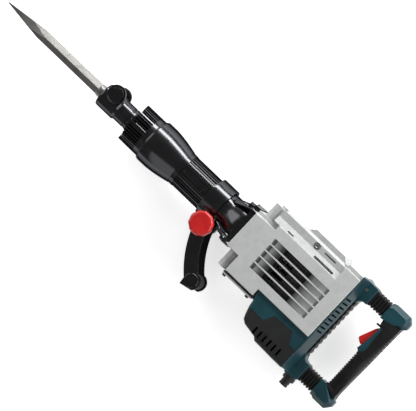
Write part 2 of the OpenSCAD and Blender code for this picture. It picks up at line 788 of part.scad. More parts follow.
// ---- side handle ---------------------------------------------------------------------------
module clamp_collar() {
    color("#17181a") difference() {
        union() {
            along_x(collar_r, 284.3, 319.5);
            // Lug for the clamp bolt
            translate([0, 0, -13]) linear_extrude(height = 26) polygon([
                [290, -30], [299, -52], [306, -58], [pivot_x + 5, -58], [pivot_x + 12, -50],
                [pivot_x + 12, -42.5], [319.5, -40], [319.5, -30]]);
        }
        along_x(barrel_r + 0.05, 280, 330);
        block([280, -70, -1.5], [pivot_x + 13, -30, 1.5]);
        translate([pivot_x, pivot_y, -40]) cylinder(r = 5.05, h = 80);
        block([319.6, -42.2, -20], [340, 0, 20]);
    }
}
// One curved arm, from its eye on the clamp bolt to the boss of the grip
module arm() {
    translate([0, 0, arm_gap / 2]) difference() {
        union() {
            translate([arm_curve_x, arm_curve_y, 0]) rotate(180 + arm_start)
                rotate_extrude(angle = arm_sweep, $fn = 160)
                    translate([arm_curve_r - arm_w / 2, 0]) square([arm_w, arm_t]);
            translate([pivot_x, pivot_y, 0]) cylinder(r = arm_w / 2 - 0.5, h = arm_t);
            translate([arm_end_x, arm_end_y, 0]) {
                cylinder(r = boss_r, h = arm_t + 1);
                // Flat foot under the boss
                linear_extrude(height = arm_t)
                    polygon([[-13.4, -19.8], [12.6, -13.8], [boss_r - 3, 0], [-boss_r + 3, 0]]);
            }
        }
        translate([pivot_x, pivot_y, -1]) cylinder(r = 5.05, h = arm_t + 2);
    }
}
module side_handle() {
    color("#17181a") union() {
        arm();
        mirror([0, 0, 1]) arm();
        translate([arm_end_x, arm_end_y, -arm_gap / 2 - 1]) cylinder(r = 9, h = arm_gap + 2);
    }
}
module side_grip() {
    color("#1c1c1c") translate([arm_end_x, arm_end_y, 0]) difference() {
        translate([0, 0, -arm_gap / 2 + 0.1]) cylinder(r = 15, h = arm_gap - 0.2);
        cylinder(r = 9.02, h = 80, center = true);
        for (z = [-24:6:24]) translate([0, 0, z]) difference() {
            cylinder(r = 16, h = 1.6, center = true);
            cylinder(r = 14, h = 3, center = true);
        }
    }
}
module clamp_bolt() {
    color("#8b8e92") translate([pivot_x, pivot_y, 0]) union() {
        translate([0, 0, -50]) cylinder(r = 5, h = 102);
        translate([0, 0, -50]) cylinder(r = 9, h = 12.5);
        translate([0, 0, -side_z]) cylinder(r = 14, h = 12.2);
    }
}
// Lobed knob that clamps the collar and the arms
module clamp_knob() {
    color("#c4161c") translate([pivot_x, pivot_y, 0]) difference() {
        union() {
            translate([0, 0, 37.5]) cylinder(r = 12, h = 6);
            translate([0, 0, 42]) cylinder(r = knob_r - 2, h = 16);
            for (a = [0:36:324]) rotate(a) translate([knob_r - 5.5, 0, 42]) cylinder(r = 5.5, h = 16);
        }
        translate([0, 0, 30]) cylinder(r = 5.05, h = 23);
        translate([0, 0, 56.5]) difference() {
            cylinder(r = 16, h = 3);
            cylinder(r = 13, h = 8, center = true);
        }
    }
}

chisel();
tool_holder();
holder_bolts();
bit_retainer();
retainer_discs();
beat_piece();
beat_sleeve();
damper_ring();
barrel_head();
cylinder_liner();
ram();
ram_rings();
piston();
piston_rings();
barrel();
barrel_studs();
neck_casting();
neck_bolts();
connecting_rod();
crankshaft();
crank_gear();
shaft_bearings();
intermediate_shaft();
intermediate_gear();
armature();
commutator();
cooling_fan();
stator();
carbon_brushes();
brush_holders();
crankcase();
side_cover_left();
side_cover_right();
housing_screws();
louvre_baffles();
gear_cover();
grease_cap();
lower_gasket();
lower_cover();
lower_cover_bolts();
motor_housing();
motor_end_cover();
rear_cover();
rear_pad();
cable_gland();
handle_bellows();
damper_pins();
damper_springs();
handle_shell();
grip_rubber();
handle_screws();
trigger_bezel();
switch_body();
trigger();
lock_button();
clamp_collar();
clamp_bolt();
clamp_knob();
side_handle();
side_grip();
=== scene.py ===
# %% [markdown]
# # A demolition hammer, built round its working drawing
# The drawing already says where every part is and how it moves. This lesson gives the hammer its looks:
# rounded castings, ribbed rubber, moulded plastic, a forged chisel and the finish of each material. Every
# piece takes its place from the drawing.

# %% Load the drawing
import math

import bpy
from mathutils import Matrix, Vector
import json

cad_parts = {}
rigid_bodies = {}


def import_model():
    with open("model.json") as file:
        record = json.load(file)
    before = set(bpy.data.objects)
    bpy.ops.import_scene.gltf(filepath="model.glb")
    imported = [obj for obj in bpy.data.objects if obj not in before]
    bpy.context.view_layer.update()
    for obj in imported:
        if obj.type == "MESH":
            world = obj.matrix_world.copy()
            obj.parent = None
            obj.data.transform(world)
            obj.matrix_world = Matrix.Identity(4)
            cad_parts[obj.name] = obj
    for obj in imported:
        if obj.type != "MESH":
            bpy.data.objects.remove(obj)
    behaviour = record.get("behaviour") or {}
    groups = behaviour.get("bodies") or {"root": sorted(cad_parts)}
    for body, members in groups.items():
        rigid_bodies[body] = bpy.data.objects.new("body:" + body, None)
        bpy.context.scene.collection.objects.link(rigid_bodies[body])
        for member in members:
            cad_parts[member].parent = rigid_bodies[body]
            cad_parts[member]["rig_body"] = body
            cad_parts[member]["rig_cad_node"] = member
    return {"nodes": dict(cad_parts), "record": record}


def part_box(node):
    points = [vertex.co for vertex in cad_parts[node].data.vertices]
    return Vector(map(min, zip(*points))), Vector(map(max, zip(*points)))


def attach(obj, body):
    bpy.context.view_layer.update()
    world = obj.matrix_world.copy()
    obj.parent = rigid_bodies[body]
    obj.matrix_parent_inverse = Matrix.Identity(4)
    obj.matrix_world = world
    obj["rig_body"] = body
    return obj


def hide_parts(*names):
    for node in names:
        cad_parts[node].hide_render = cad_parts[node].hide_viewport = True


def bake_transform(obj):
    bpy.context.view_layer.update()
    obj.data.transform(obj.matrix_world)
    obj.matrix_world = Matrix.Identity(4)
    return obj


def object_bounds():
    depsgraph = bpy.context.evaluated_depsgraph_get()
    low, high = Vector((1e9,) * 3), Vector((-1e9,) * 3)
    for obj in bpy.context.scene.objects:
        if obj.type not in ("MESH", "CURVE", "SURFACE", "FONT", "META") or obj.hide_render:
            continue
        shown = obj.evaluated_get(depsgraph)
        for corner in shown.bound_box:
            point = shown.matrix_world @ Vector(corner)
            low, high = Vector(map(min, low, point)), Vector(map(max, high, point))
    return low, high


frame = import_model()
cad_low, cad_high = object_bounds()
nodes = frame["nodes"]
MM = 0.001
print("parts in the drawing:", len(nodes))

# %% [markdown]
# ## Helpers for modelling
# A hand modeller works in a small circle: add a primitive, extrude, scale, bevel, repeat. Each helper
# below is one such habit. They all start by deselecting everything, because an operator acts on all that
# is selected, and the drawing arrives selected.

# %% Start clean, and finish a piece
def start_clean():
    """Leave edit mode and deselect everything."""
    if bpy.context.object and bpy.context.object.mode != "OBJECT":
        bpy.ops.object.mode_set(mode="OBJECT")
    bpy.ops.object.select_all(action="DESELECT")


def take(piece):
    """Make one piece the only selected and active one."""
    start_clean()
    piece.hide_set(False)
    piece.select_set(True)
    bpy.context.view_layer.objects.active = piece
    return piece


def named(name):
    """Name the piece just made, and put its place into its mesh."""
    piece = bpy.context.object
    if piece.mode != "OBJECT":
        bpy.ops.object.mode_set(mode="OBJECT")
    piece.name = name
    bpy.ops.object.transform_apply(location=True, rotation=True, scale=True)
    return piece


def outwards(piece, merge=0.00001):
    """Merge points that lie together and turn every face outwards."""
    take(piece)
    bpy.ops.object.mode_set(mode="EDIT")
    bpy.ops.mesh.select_all(action="SELECT")
    bpy.ops.mesh.remove_doubles(threshold=merge)
    bpy.ops.mesh.normals_make_consistent(inside=False)
    bpy.ops.object.mode_set(mode="OBJECT")
    return piece


def apply_modifier(piece, kind, **settings):
    """Add a modifier with these settings and apply it."""
    take(piece)
    modifier = piece.modifiers.new(kind.lower(), kind)
    for key, value in settings.items():
        setattr(modifier, key, value)
    bpy.ops.object.modifier_apply(modifier=modifier.name)
    return piece


def round_edges(piece, width, segments=3, angle=28):
    """Bevel every edge sharper than the angle, and shade the rest smooth."""
    apply_modifier(piece, "BEVEL", width=width, segments=segments, limit_method="ANGLE",
                   angle_limit=math.radians(angle), harden_normals=False, use_clamp_overlap=True)
    return smooth(piece)


def round_where(piece, width, segments, chosen):
    """Bevel only the edges that pass a test of their middle and their direction."""
    take(piece)
    bpy.ops.object.mode_set(mode="EDIT")
    bpy.ops.mesh.select_mode(type="EDGE")
    bpy.ops.mesh.select_all(action="DESELECT")
    bpy.ops.object.mode_set(mode="OBJECT")
    points = piece.data.vertices
    for edge in piece.data.edges:
        start, end = (points[i].co for i in edge.vertices)
        edge.select = bool(chosen((start + end) / 2, end - start))
    bpy.ops.object.mode_set(mode="EDIT")
    bpy.ops.mesh.bevel(offset=width, segments=segments, affect="EDGES")
    bpy.ops.object.mode_set(mode="OBJECT")
    return piece


def smooth(piece, angle=32):
    """Shade smooth, but keep edges sharper than the angle."""
    take(piece)
    bpy.ops.object.shade_smooth_by_angle(angle=math.radians(angle))
    return piece


def combine(piece, other, operation):
    """Join, cut or intersect a piece with another one, and remove the other."""
    apply_modifier(piece, "BOOLEAN", operation=operation, object=other, solver="EXACT")
    bpy.data.objects.remove(other)
    return piece


def cut(piece, cutter):
    """Take the cutter's shape out of the piece."""
    return combine(piece, cutter, "DIFFERENCE")


def weld(pieces, name):
    """Join pieces into one object."""
    take(pieces[0])
    for other in pieces[1:]:
        other.select_set(True)
    if len(pieces) > 1:
        bpy.ops.object.join()
    return named(name)


print("modelling helpers ready")

# %% [markdown]
# A turned part grows from one ring of points: the ring is extruded along the axis and scaled to the next
# radius, as on a lathe. A pressed or cast part grows from its outline: a filled polygon is extruded once.

# %% Turned, extruded and boxed shapes
AXES = {"X": Vector((1, 0, 0)), "Y": Vector((0, 1, 0)), "Z": Vector((0, 0, 1))}
FACING = {"X": (0, math.pi / 2, 0), "Y": (-math.pi / 2, 0, 0), "Z": (0, 0, 0)}


def turned(name, profile, axis="X", centre=(0, 0, 0), sides=72, closed=False):
    """Turn a profile of (place along the axis, radius). A closed profile makes a ring with a hole."""
    along = AXES[axis]
    middle = Vector(centre)
    start_clean()
    first = middle + along * profile[0][0]
    bpy.ops.mesh.primitive_circle_add(vertices=sides, radius=profile[0][1], location=first,
                                      rotation=FACING[axis], fill_type="NOTHING" if closed else "NGON")
    bpy.ops.object.mode_set(mode="EDIT")
    bpy.ops.mesh.select_mode(type="VERT")
    bpy.ops.mesh.select_all(action="SELECT")
    steps = list(profile[1:]) + ([profile[0]] if closed else [])
    before = profile[0]
    for place, radius in steps:
        bpy.ops.mesh.extrude_region_move(TRANSFORM_OT_translate={"value": along * (place - before[0])})
        ratio = radius / before[1]
        bpy.ops.transform.resize(value=(ratio, ratio, ratio), center_override=middle + along * place)
        before = (place, radius)
    return outwards(named(name))


def pressed(name, outline, low, high, plane="XY"):
    """Extrude an outline from low to high along the axis that stands on its plane."""
    third = ({"X", "Y", "Z"} - set(plane)).pop()
    start_clean()
    bpy.ops.mesh.primitive_circle_add(vertices=len(outline), radius=1, fill_type="NGON")
    piece = bpy.context.object
    first, second = AXES[plane[0]], AXES[plane[1]]
    for vertex, (u, v) in zip(piece.data.vertices, outline):
        vertex.co = first * u + second * v + AXES[third] * low
    bpy.ops.object.mode_set(mode="EDIT")
    bpy.ops.mesh.select_all(action="SELECT")
    bpy.ops.mesh.extrude_region_move(TRANSFORM_OT_translate={"value": AXES[third] * (high - low)})
    return outwards(named(name))


def boxed(name, low, high):
    """A block between two corners."""
    start_clean()
    low, high = Vector(low), Vector(high)
    bpy.ops.mesh.primitive_cube_add(size=1, location=(low + high) / 2, scale=high - low)
    return named(name)


def mirrored(piece, name, normal=(0, 0, 1)):
    """A mirrored copy with its own mesh."""
    take(piece)
    bpy.ops.object.duplicate()
    copy = bpy.context.object
    scale = [1 - 2 * abs(n) for n in normal]
    copy.data = copy.data.copy() if copy.data.users > 1 else copy.data
    copy.scale = scale
    return outwards(named(name))


def flipped(piece, name):
    """The same as mirrored, but the first piece is removed."""
    copy = mirrored(piece, name)
    bpy.data.objects.remove(piece)
    return copy


def from_drawing(node, name):
    """A merged copy of a part in the drawing, ready for its edges to be rounded."""
    start_clean()
    copy = nodes[node].copy()
    copy.data = nodes[node].data.copy()
    copy.parent = None
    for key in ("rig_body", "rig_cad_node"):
        if key in copy:
            del copy[key]
    bpy.context.scene.collection.objects.link(copy)
    copy.name = name
    take(copy)
    bpy.ops.object.mode_set(mode="EDIT")
    bpy.ops.mesh.select_all(action="SELECT")
    bpy.ops.mesh.remove_doubles(threshold=0.00001)
    bpy.ops.mesh.dissolve_limited(angle_limit=math.radians(0.6))
    bpy.ops.object.mode_set(mode="OBJECT")
    return copy


def mm(*values):
    """Millimetres to metres."""
    return tuple(v * MM for v in values)


def outline_mm(*points):
    """Points in millimetres to metres."""
    return [mm(*point) for point in points]


def plan_middle(low, high):
    """The middle of a box, seen along Z."""
    return Vector(((low.x + high.x) / 2, (low.y + high.y) / 2, 0))


print("shape helpers ready")

# %% [markdown]
# ## Finishes
# Each material is a small sum on sockets. A wrapper lets the sum be written as one, such as
# `dark + speck * 0.2`, and every operator adds its own Math node. Colours are mixed with a Mix node,
# because a Math node would turn them grey. Patterns read Object coordinates, which are the same on every
# part, because all parts share one frame.

# %% A wrapper for sockets
class Wire:
    """One output socket with arithmetic."""

    def __init__(self, tree, socket):
        self.tree, self.socket = tree, socket

    def _math(self, operation, a, b, clamp=False):
        return self.node("ShaderNodeMath", {"operation": operation, "use_clamp": clamp}, {0: a, 1: b})

    def node(self, kind, settings, inputs, output=0):
        """Add a node: its settings first, then the values or links of its sockets."""
        node = self.tree.nodes.new(kind)
        for key, value in settings.items():
            if key == "stops":
                ramp = node.color_ramp
                while len(ramp.elements) < len(value):
                    ramp.elements.new(0.5)
                for element, (place, colour) in zip(ramp.elements, value):
                    element.position = place
                    element.color = (*colour, 1) if len(colour) == 3 else colour
            else:
                setattr(node, key, value)
        for key, value in inputs.items():
            socket = node.inputs[key]
            if isinstance(value, Wire):
                self.tree.links.new(value.socket, socket)
            elif value is not None:
                socket.default_value = value
        return Wire(self.tree, node.outputs[output])

    def __add__(self, other):
        return self._math("ADD", self, other)

    def __radd__(self, other):
        return self._math("ADD", other, self)

    def __sub__(self, other):
        return self._math("SUBTRACT", self, other)

    def __rsub__(self, other):
        return self._math("SUBTRACT", other, self)

    def __mul__(self, other):
        return self._math("MULTIPLY", self, other)

    def __rmul__(self, other):
        return self._math("MULTIPLY", other, self)

    def between(self, low, high, to_low=0.0, to_high=1.0):
        """Map a range to another, held at its ends."""
        limits = {"From Min": low, "From Max": high, "To Min": to_low, "To Max": to_high}
        return self.node("ShaderNodeMapRange", {"clamp": True}, {"Value": self, **limits})

    def blend(self, first, second):
        """Mix two colours by this value."""
        first = (*first, 1) if isinstance(first, tuple) else first
        second = (*second, 1) if isinstance(second, tuple) else second
        return self.node("ShaderNodeMix", {"data_type": "RGBA"}, {"Factor": self, 6: first, 7: second}, 2)


class Finish:
    """A material on one Principled shader, with the patterns that its maker needs."""

    def __init__(self, name, **constants):
        self.material = bpy.data.materials.new(name)
        self.material.use_nodes = True
        self.tree = self.material.node_tree
        self.shader = self.tree.nodes["Principled BSDF"]
        place = self.tree.nodes.new("ShaderNodeTexCoord")
        self.here = Wire(self.tree, place.outputs["Object"])
        for key, value in constants.items():
            self.shader.inputs[key.replace("_", " ")].default_value = value

    def stretched(self, x, y, z):
        """Coordinates scaled along the axes, to draw grain out into streaks."""
        return self.here.node("ShaderNodeMapping", {}, {"Vector": self.here, "Scale": (x, y, z)})

    def noise(self, scale, detail=3.0, roughness=0.55, where=None):
        inputs = {"Vector": where or self.here, "Scale": scale, "Detail": detail, "Roughness": roughness}
        return self.here.node("ShaderNodeTexNoise", {}, inputs)

    def across(self, axis):
        """The place along one axis of the frame, in metres."""
        return self.here.node("ShaderNodeSeparateXYZ", {}, {0: self.here}, "XYZ".index(axis))

    def cells(self, scale, where=None):
        return self.here.node("ShaderNodeTexVoronoi", {}, {"Vector": where or self.here, "Scale": scale})

    def set(self, **sockets):
        for key, value in sockets.items():
            self.tree.links.new(value.socket, self.shader.inputs[key.replace("_", " ")])
        return self

    def bump(self, height, distance, strength=1.0):
        """Relief of this height in metres."""
        inputs = {"Strength": strength, "Distance": distance, "Height": height}
        relief = height.node("ShaderNodeBump", {}, inputs)
        return self.set(Normal=relief)


print("socket wrapper ready")

# %% [markdown]
# ### Metals
# The chisel is forged and then ground along its length, so its streaks run along X. The castings are shot
# blasted: a fine grain with small pits. Inside the louvre channels their colour is darkened with depth:
# this is painted shade, standing in for the shadow deep in the channels. The depth is read from Z, and the
# field of the channels from X and Y. The machined parts inside carry the fine rings of turning. The black
# castings
# are lacquered metal: a dark metallic base gives a bright narrow highlight on a nearly black face, and a
# dark specular tint keeps their rims black, where plain lacquer would mirror the pale floor.

# %% Metal finishes
POINT_DARK = cad_low.x + 0.075   # up to here the chisel's point keeps its forging scale
PAINTED_SHADE_DEPTHS = mm(51, 58.5)       # painted shade in the louvre channels fades out between these distances from the tool's middle
LOUVRE_FIELD = {"X": mm(438.5, 580), "Y": mm(-42, 31)}
FIELD_EDGE = 0.5 * MM


def chisel_steel():
    finish = Finish("forged_chisel_steel", Metallic=1.0)
    streaks = finish.noise(60, 5, 0.6, finish.stretched(0.6, 14, 14))
    scale_marks = finish.noise(38, 6, 0.65)
    heat = finish.noise(9, 3)
    base = streaks.between(0.3, 0.75).blend((0.16, 0.156, 0.15), (0.33, 0.322, 0.31))
    base = scale_marks.between(0.55, 0.72, 0.0, 0.75).blend(base, (0.12, 0.115, 0.11))
    forged = (finish.across("X") + heat * 0.05).between(POINT_DARK - 0.02, POINT_DARK + 0.045, 0.9, 0.0)
    base = forged.blend(base, (0.085, 0.082, 0.08))
    finish.set(Base_Color=base, Roughness=streaks * 0.2 + heat * 0.12 + forged * 0.12 + 0.26)
    return finish.bump(streaks * 0.6 + scale_marks * 0.4, 0.00025, 0.7).material


def within_field(finish, axis):
    """One inside the field of louvre channels along an axis, and zero outside it."""
    place = finish.across(axis)
    start, end = LOUVRE_FIELD[axis]
    return place.between(start, start + FIELD_EDGE) * place.between(end, end + FIELD_EDGE, 1.0, 0.0)


def cast_metal(name, light, dark, grain_scale, depth):
    finish = Finish(name)
    grain = finish.noise(grain_scale, 4, 0.62)
    pits = finish.cells(grain_scale * 0.55)
    mottle = finish.noise(70, 5, 0.7)
    stain = finish.noise(14, 4)
    base = grain.between(0.35, 0.68).blend(dark, light)
    base = mottle.between(0.42, 0.66, 0.0, 0.65).blend(base, dark)
    base = stain.between(0.5, 0.72, 0.0, 0.3).blend(base, dark)
    speck = pits.between(0.0, 0.16, 1.0, 0.0)
    base = (speck * 0.45).blend(base, tuple(c * 0.45 for c in dark))
    # painted shade: the colour darkens with depth inside the louvre channels, standing in for their shadow
    deep = finish.here.node("ShaderNodeMath", {"operation": "ABSOLUTE"}, {0: finish.across("Z")})
    inside = deep.between(*PAINTED_SHADE_DEPTHS, 1.0, 0.0)
    painted_depth_shade = inside * within_field(finish, "X") * within_field(finish, "Y")
    base = (painted_depth_shade * 0.9).blend(base, tuple(c * 0.1 for c in dark))
    finish.set(Base_Color=base, Metallic=0.3 - stain * 0.1, Roughness=grain * 0.22 + mottle * 0.08 + 0.34)
    return finish.bump(grain * 0.6 + mottle * 0.3 - speck * 0.3, depth, 0.7).material


def black_enamel():
    finish = Finish("black_enamel", Specular_Tint=(0.1, 0.1, 0.11, 1), Specular_IOR_Level=0.25)
    peel = finish.noise(420, 2, 0.5)
    dust = finish.noise(26, 5, 0.7)
    scuff = finish.noise(90, 4, 0.6, finish.stretched(0.5, 2.5, 2.5))
    worn = scuff.between(0.66, 0.78, 0.0, 0.5)
    base = dust.between(0.45, 0.8).blend((0.078, 0.079, 0.083), (0.094, 0.095, 0.1))
    base = worn.blend(base, (0.12, 0.12, 0.125))
    finish.set(Base_Color=base, Metallic=0.97 - worn * 0.2, Roughness=dust * 0.12 + worn * 0.25 + 0.13)
    return finish.bump(peel * 0.8 + scuff * 0.2, 0.00006, 0.5).material


def machined(name, light, dark, rough, along=(9, 1, 9)):
    finish = Finish(name, Metallic=1.0)
    rings = finish.noise(240, 3, 0.5, finish.stretched(*along))
    smear = finish.noise(30, 4)
    base = rings.between(0.3, 0.7).blend(dark, light)
    base = smear.between(0.55, 0.8, 0.0, 0.35).blend(base, dark)
    finish.set(Base_Color=base, Roughness=rings * 0.12 + smear * 0.1 + rough)
    return finish.bump(rings, 0.00004, 0.5).material


# %% [markdown]
# ### Plastics and rubber
# Tool plastic is never plain: the mould is etched, which leaves a fine pebble, and handling polishes it
# in patches. Rubber is duller and takes dust. The red parts are glossier, so the grip of the knob shines.

# %% Plastic and rubber finishes
def moulded(name, light, dark, rough, pebble=900, depth=0.00008, coat=0.0):
    finish = Finish(name, Specular_IOR_Level=0.5, Coat_Roughness=0.12)
    etched = finish.cells(pebble)
    wear = finish.noise(18, 5, 0.6)
    grime = finish.noise(60, 4, 0.65)
    base = wear.between(0.35, 0.7).blend(dark, light)
    base = grime.between(0.6, 0.8, 0.0, 0.3).blend(base, tuple(c * 0.6 for c in dark))
    finish.set(Base_Color=base, Roughness=wear * 0.18 + grime * 0.08 + rough)
    if coat:
        finish.set(Coat_Weight=coat - wear * coat * 0.4)
    return finish.bump(etched * 0.6 + grime * 0.4, depth, 0.5).material


def rubber():
    finish = Finish("moulded_rubber", Specular_IOR_Level=0.28)
    grain = finish.noise(700, 2, 0.6)
    dust = finish.noise(35, 6, 0.7)
    base = dust.between(0.45, 0.85).blend((0.0055, 0.0055, 0.006), (0.017, 0.0165, 0.016))
    finish.set(Base_Color=base, Roughness=dust * 0.22 + 0.42)
    return finish.bump(grain * 0.7 + dust * 0.3, 0.0001, 0.6).material


FINISHES = {
    "chisel_steel": chisel_steel(),
    "black_enamel": black_enamel(),
    "cast_aluminium": cast_metal(
        "cast_aluminium", (0.62, 0.63, 0.62), (0.40, 0.41, 0.405), 620, 0.00035),
    "cover_aluminium": cast_metal(
        "blasted_aluminium", (0.70, 0.71, 0.70), (0.50, 0.51, 0.505), 760, 0.0002),
    "machined_steel": machined("turned_steel", (0.56, 0.56, 0.57), (0.33, 0.33, 0.34), 0.16),
    "gear_steel": machined("oiled_gear_steel", (0.36, 0.33, 0.29), (0.15, 0.13, 0.11), 0.2),
    "zinc_screws": machined("zinc_plated_steel", (0.60, 0.61, 0.60), (0.36, 0.37, 0.38), 0.22),
    "black_screws": machined("blackened_steel", (0.055, 0.055, 0.058), (0.025, 0.025, 0.027), 0.3),
    "bearing_steel": machined("polished_bearing_steel", (0.72, 0.72, 0.73), (0.5, 0.5, 0.51), 0.08),
    "copper": machined("commutator_copper", (0.72, 0.36, 0.20), (0.40, 0.18, 0.09), 0.18, (1, 9, 1)),
    "laminations": machined(
        "varnished_laminations", (0.16, 0.15, 0.15), (0.06, 0.055, 0.055), 0.34, (1, 14, 1)),
    "carbon": moulded("pressed_carbon", (0.04, 0.04, 0.042), (0.018, 0.018, 0.019), 0.4),
    "teal_plastic": moulded(
        "teal_housing_plastic", (0.0055, 0.050, 0.064), (0.003, 0.028, 0.037), 0.27),
    "black_plastic": moulded(
        "black_housing_plastic", (0.012, 0.0125, 0.013), (0.006, 0.0062, 0.0066), 0.36),
    "black_rubber": rubber(),
    "red_plastic": moulded(
        "red_knob_plastic", (0.70, 0.022, 0.018), (0.50, 0.010, 0.011), 0.22, 500, 0.00005, 0.5),
}
FINISHES["black_alloy"] = FINISHES["black_enamel"]
slot_of = {part["node"]: part["material_slot"] for part in frame["record"]["subparts"]}
body_of = {node: body for body, group in frame["record"]["behaviour"]["bodies"].items() for node in group}


def paint(piece, slot):
    """Give a piece one finish all over."""
    piece.data.materials.clear()
    piece.data.materials.append(FINISHES[slot])
    return piece


for node_name, part in nodes.items():
    paint(part, slot_of[node_name])
print("finishes:", len(FINISHES), "on", len(nodes), "parts")

# %% [markdown]
# A new piece takes over from a part in the drawing: it rides on that part's body and takes its finish,
# and the part itself is no longer shown. Its normals are weighted by face size first, so that a flat face
# next to a round edge stays flat in the light.

# %% Hand a piece its place in the drawing
made = []


def stands_for(piece, *parts):
    """Paint a piece, let it ride on its part's body and hide the part."""
    name = slot_of[parts[0]]
    paint(piece, name)
    apply_modifier(piece, "WEIGHTED_NORMAL", keep_sharp=True)
    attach(piece, body_of[parts[0]])
    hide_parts(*parts)
    made.append(piece.name)
    return piece


def spans(piece, node, slot):
    """Paint a piece, put its place into its mesh and hide its part."""
    paint(piece, slot)
    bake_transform(piece)
    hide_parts(node)
    made.append(piece.name)


# %% [markdown]
# ## The chisel
# A moil point is forged from hexagonal bar. It could be a cone, but a smith draws it down on four sides,
# so the bar is cut by four slanting planes here. Where a plane leaves the bar, its edge runs as a long
# slanting curve, which is what makes a forged point look forged.

# %% Hexagonal bar with a four sided point
chisel_low, chisel_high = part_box("chisel")
HEX_FLAT = 22 * MM
POINT_TIP = 1.0 * MM
POINT_ROOT = -167 * MM

start_clean()
bar_length = chisel_high.x - chisel_low.x - 0.4 * MM
bpy.ops.mesh.primitive_cylinder_add(vertices=6, radius=HEX_FLAT / math.sqrt(3), depth=bar_length,
                                    location=((chisel_low.x + chisel_high.x) / 2 + 0.2 * MM, 0, 0),
                                    rotation=(math.pi / 2, 0, math.pi / 2))
chisel = named("forged_chisel")
round_edges(chisel, 0.9 * MM, 3)
bpy.ops.object.mode_set(mode="EDIT")
slope = math.atan2(HEX_FLAT / 2 - POINT_TIP, POINT_ROOT - chisel_low.x)
for side in range(4):
    angle = side * math.pi / 2
    sideways = Vector((0, math.cos(angle), math.sin(angle)))
    outward = sideways * math.cos(slope) - Vector((math.sin(slope), 0, 0))
    foot = sideways * POINT_TIP + Vector((chisel_low.x, 0, 0))
    bpy.ops.mesh.select_all(action="SELECT")
    bpy.ops.mesh.bisect(plane_co=foot, plane_no=outward, use_fill=True, clear_outer=True)
chisel = outwards(named("forged_chisel"))
round_edges(chisel, 0.5 * MM, 2, 20)
cut(chisel, boxed("notch_cutter", mm(16.2, 7.4, -20), mm(52.5, 20, 20)))
collar_profile = [mm(-12.2, 10.8), mm(-11.6, 12.2), mm(-10.4, 12.9), mm(-2.2, 12.9), mm(-1.0, 12.4),
                  mm(-0.5, 11.0)]
collar = turned("collar", collar_profile)
round_edges(collar, 0.4 * MM, 2)
stands_for(smooth(weld([chisel, collar], "forged_chisel"), 25), "chisel")

# %% [markdown]
# ## Black front end
# The barrel head is the swollen casting in front of the barrel. Its curve is one formula, full at the
# front and falling faster and faster to the barrel, so the lathe helper can turn it with as many rings as
# the highlight needs to run without a break.

# %% Barrel head
head_low, head_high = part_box("barrel_head")
HEAD_R = head_high.y - 0.1 * MM
HEAD_END_R = 37.2 * MM
HEAD_BORE = 32.2 * MM
FULL_END = 150 * MM
head_rings = 22


def head_radius(x):
    """Radius of the barrel head along the tool."""
    t = max(0.0, (x - FULL_END) / (head_high.x - FULL_END))
    return HEAD_END_R + (HEAD_R - HEAD_END_R) * (1 - t ** 1.55)


outside = [(head_low.x + dx * MM, HEAD_R - dr * MM) for dx, dr in
           ((0.1, 3.4), (0.6, 2.3), (1.6, 1.6), (3.0, 1.4), (3.6, 0.5), (4.6, 0.05))]
ring_places = [FULL_END + (head_high.x - FULL_END) * i / head_rings for i in range(head_rings + 1)]
outside += [(x, head_radius(x)) for x in ring_places]
inside = [(head_high.x, HEAD_BORE), (head_low.x + 0.1 * MM, HEAD_BORE)]
barrel_head = turned("bulged_barrel_head", outside + inside, sides=128, closed=True)
stands_for(smooth(barrel_head, 40), "barrel_head")
print("barrel head rings:", len(outside))

# %% [markdown]
# The tool holder, the barrel, the neck and the collar are castings with many ribs. Their shapes in the
# drawing are right, but a casting has no sharp edge. A merged copy of each gets its edges rounded, and
# small ones get less, because a wide bevel would swallow the ribs.

# %% Ribbed castings with rounded edges
CAST_EDGES = {
    "tool_holder": 0.7, "barrel": 0.45, "neck_casting": 1.4, "clamp_collar": 1.2, "crankcase": 1.6,
    "lower_cover": 1.0, "lower_gasket": 0.4, "rear_pad": 0.5, "bit_retainer": 0.4,
    "holder_bolts": 0.45, "neck_bolts": 0.4, "housing_screws": 0.35, "handle_screws": 0.35,
    "lower_cover_bolts": 0.6, "barrel_studs": 0.5, "grease_cap": 0.4, "louvre_baffles": 0.4,
    "clamp_bolt": 0.8, "lock_button": 0.5, "damper_pins": 0.5, "brush_holders": 0.3}
for node_name, edge in CAST_EDGES.items():
    rounded = round_edges(from_drawing(node_name, node_name + "_rounded"), edge * MM, 3, 30)
    stands_for(rounded, node_name)
gear_cover = round_edges(from_drawing("gear_cover", "gear_cover_cast"), 0.9 * MM, 3, 12)
stands_for(gear_cover, "gear_cover")
print("rounded copies:", len(CAST_EDGES) + 1)

# %% [markdown]
# The two side covers are castings too. The left one has its long front edge rounded much more than the
# rest:
# that edge is picked by where it lies. The louvre channels get curved scoops: an outline of two arcs is
# pressed across each channel and cut out, so the floor of the channel dives into the window. The thin
# ribs between the channels keep crisp edges, so they are left out of the wide rounding.

# %% Side covers with one wide round edge and scooped louvres
COVER_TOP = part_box("side_cover_left")[1].z
LOUVRES = 5
LOUVRE_PITCH = 14.9 * MM
LOUVRE_WIDTH = 12 * MM
LOUVRE_FIRST = -41.4 * MM
WINDOW = (467 * MM, 533 * MM)
CHANNEL = (439 * MM, 580.2 * MM)


def in_louvres(middle):
    """Whether a place lies inside the field of louvre channels."""
    return (CHANNEL[0] - 2 * MM < middle.x < CHANNEL[1] + 2 * MM
            and LOUVRE_FIRST - 2 * MM < middle.y < LOUVRE_FIRST + LOUVRES * LOUVRE_PITCH)


def is_front_edge(middle, along):
    """Whether an edge belongs to the long chamfer of the upper front."""
    return (abs(along.x) > 30 * MM and 35 * MM < middle.y < 43 * MM
            and abs(middle.z) > 54 * MM and middle.x < 440 * MM)


def is_rim(middle, along):
    """Whether an edge lies on the outer face or runs across it, away from the louvres."""
    return (not in_louvres(middle) and along.length > 6 * MM
            and (abs(middle.z) > COVER_TOP - 0.2 * MM or abs(along.z) > 6 * MM))


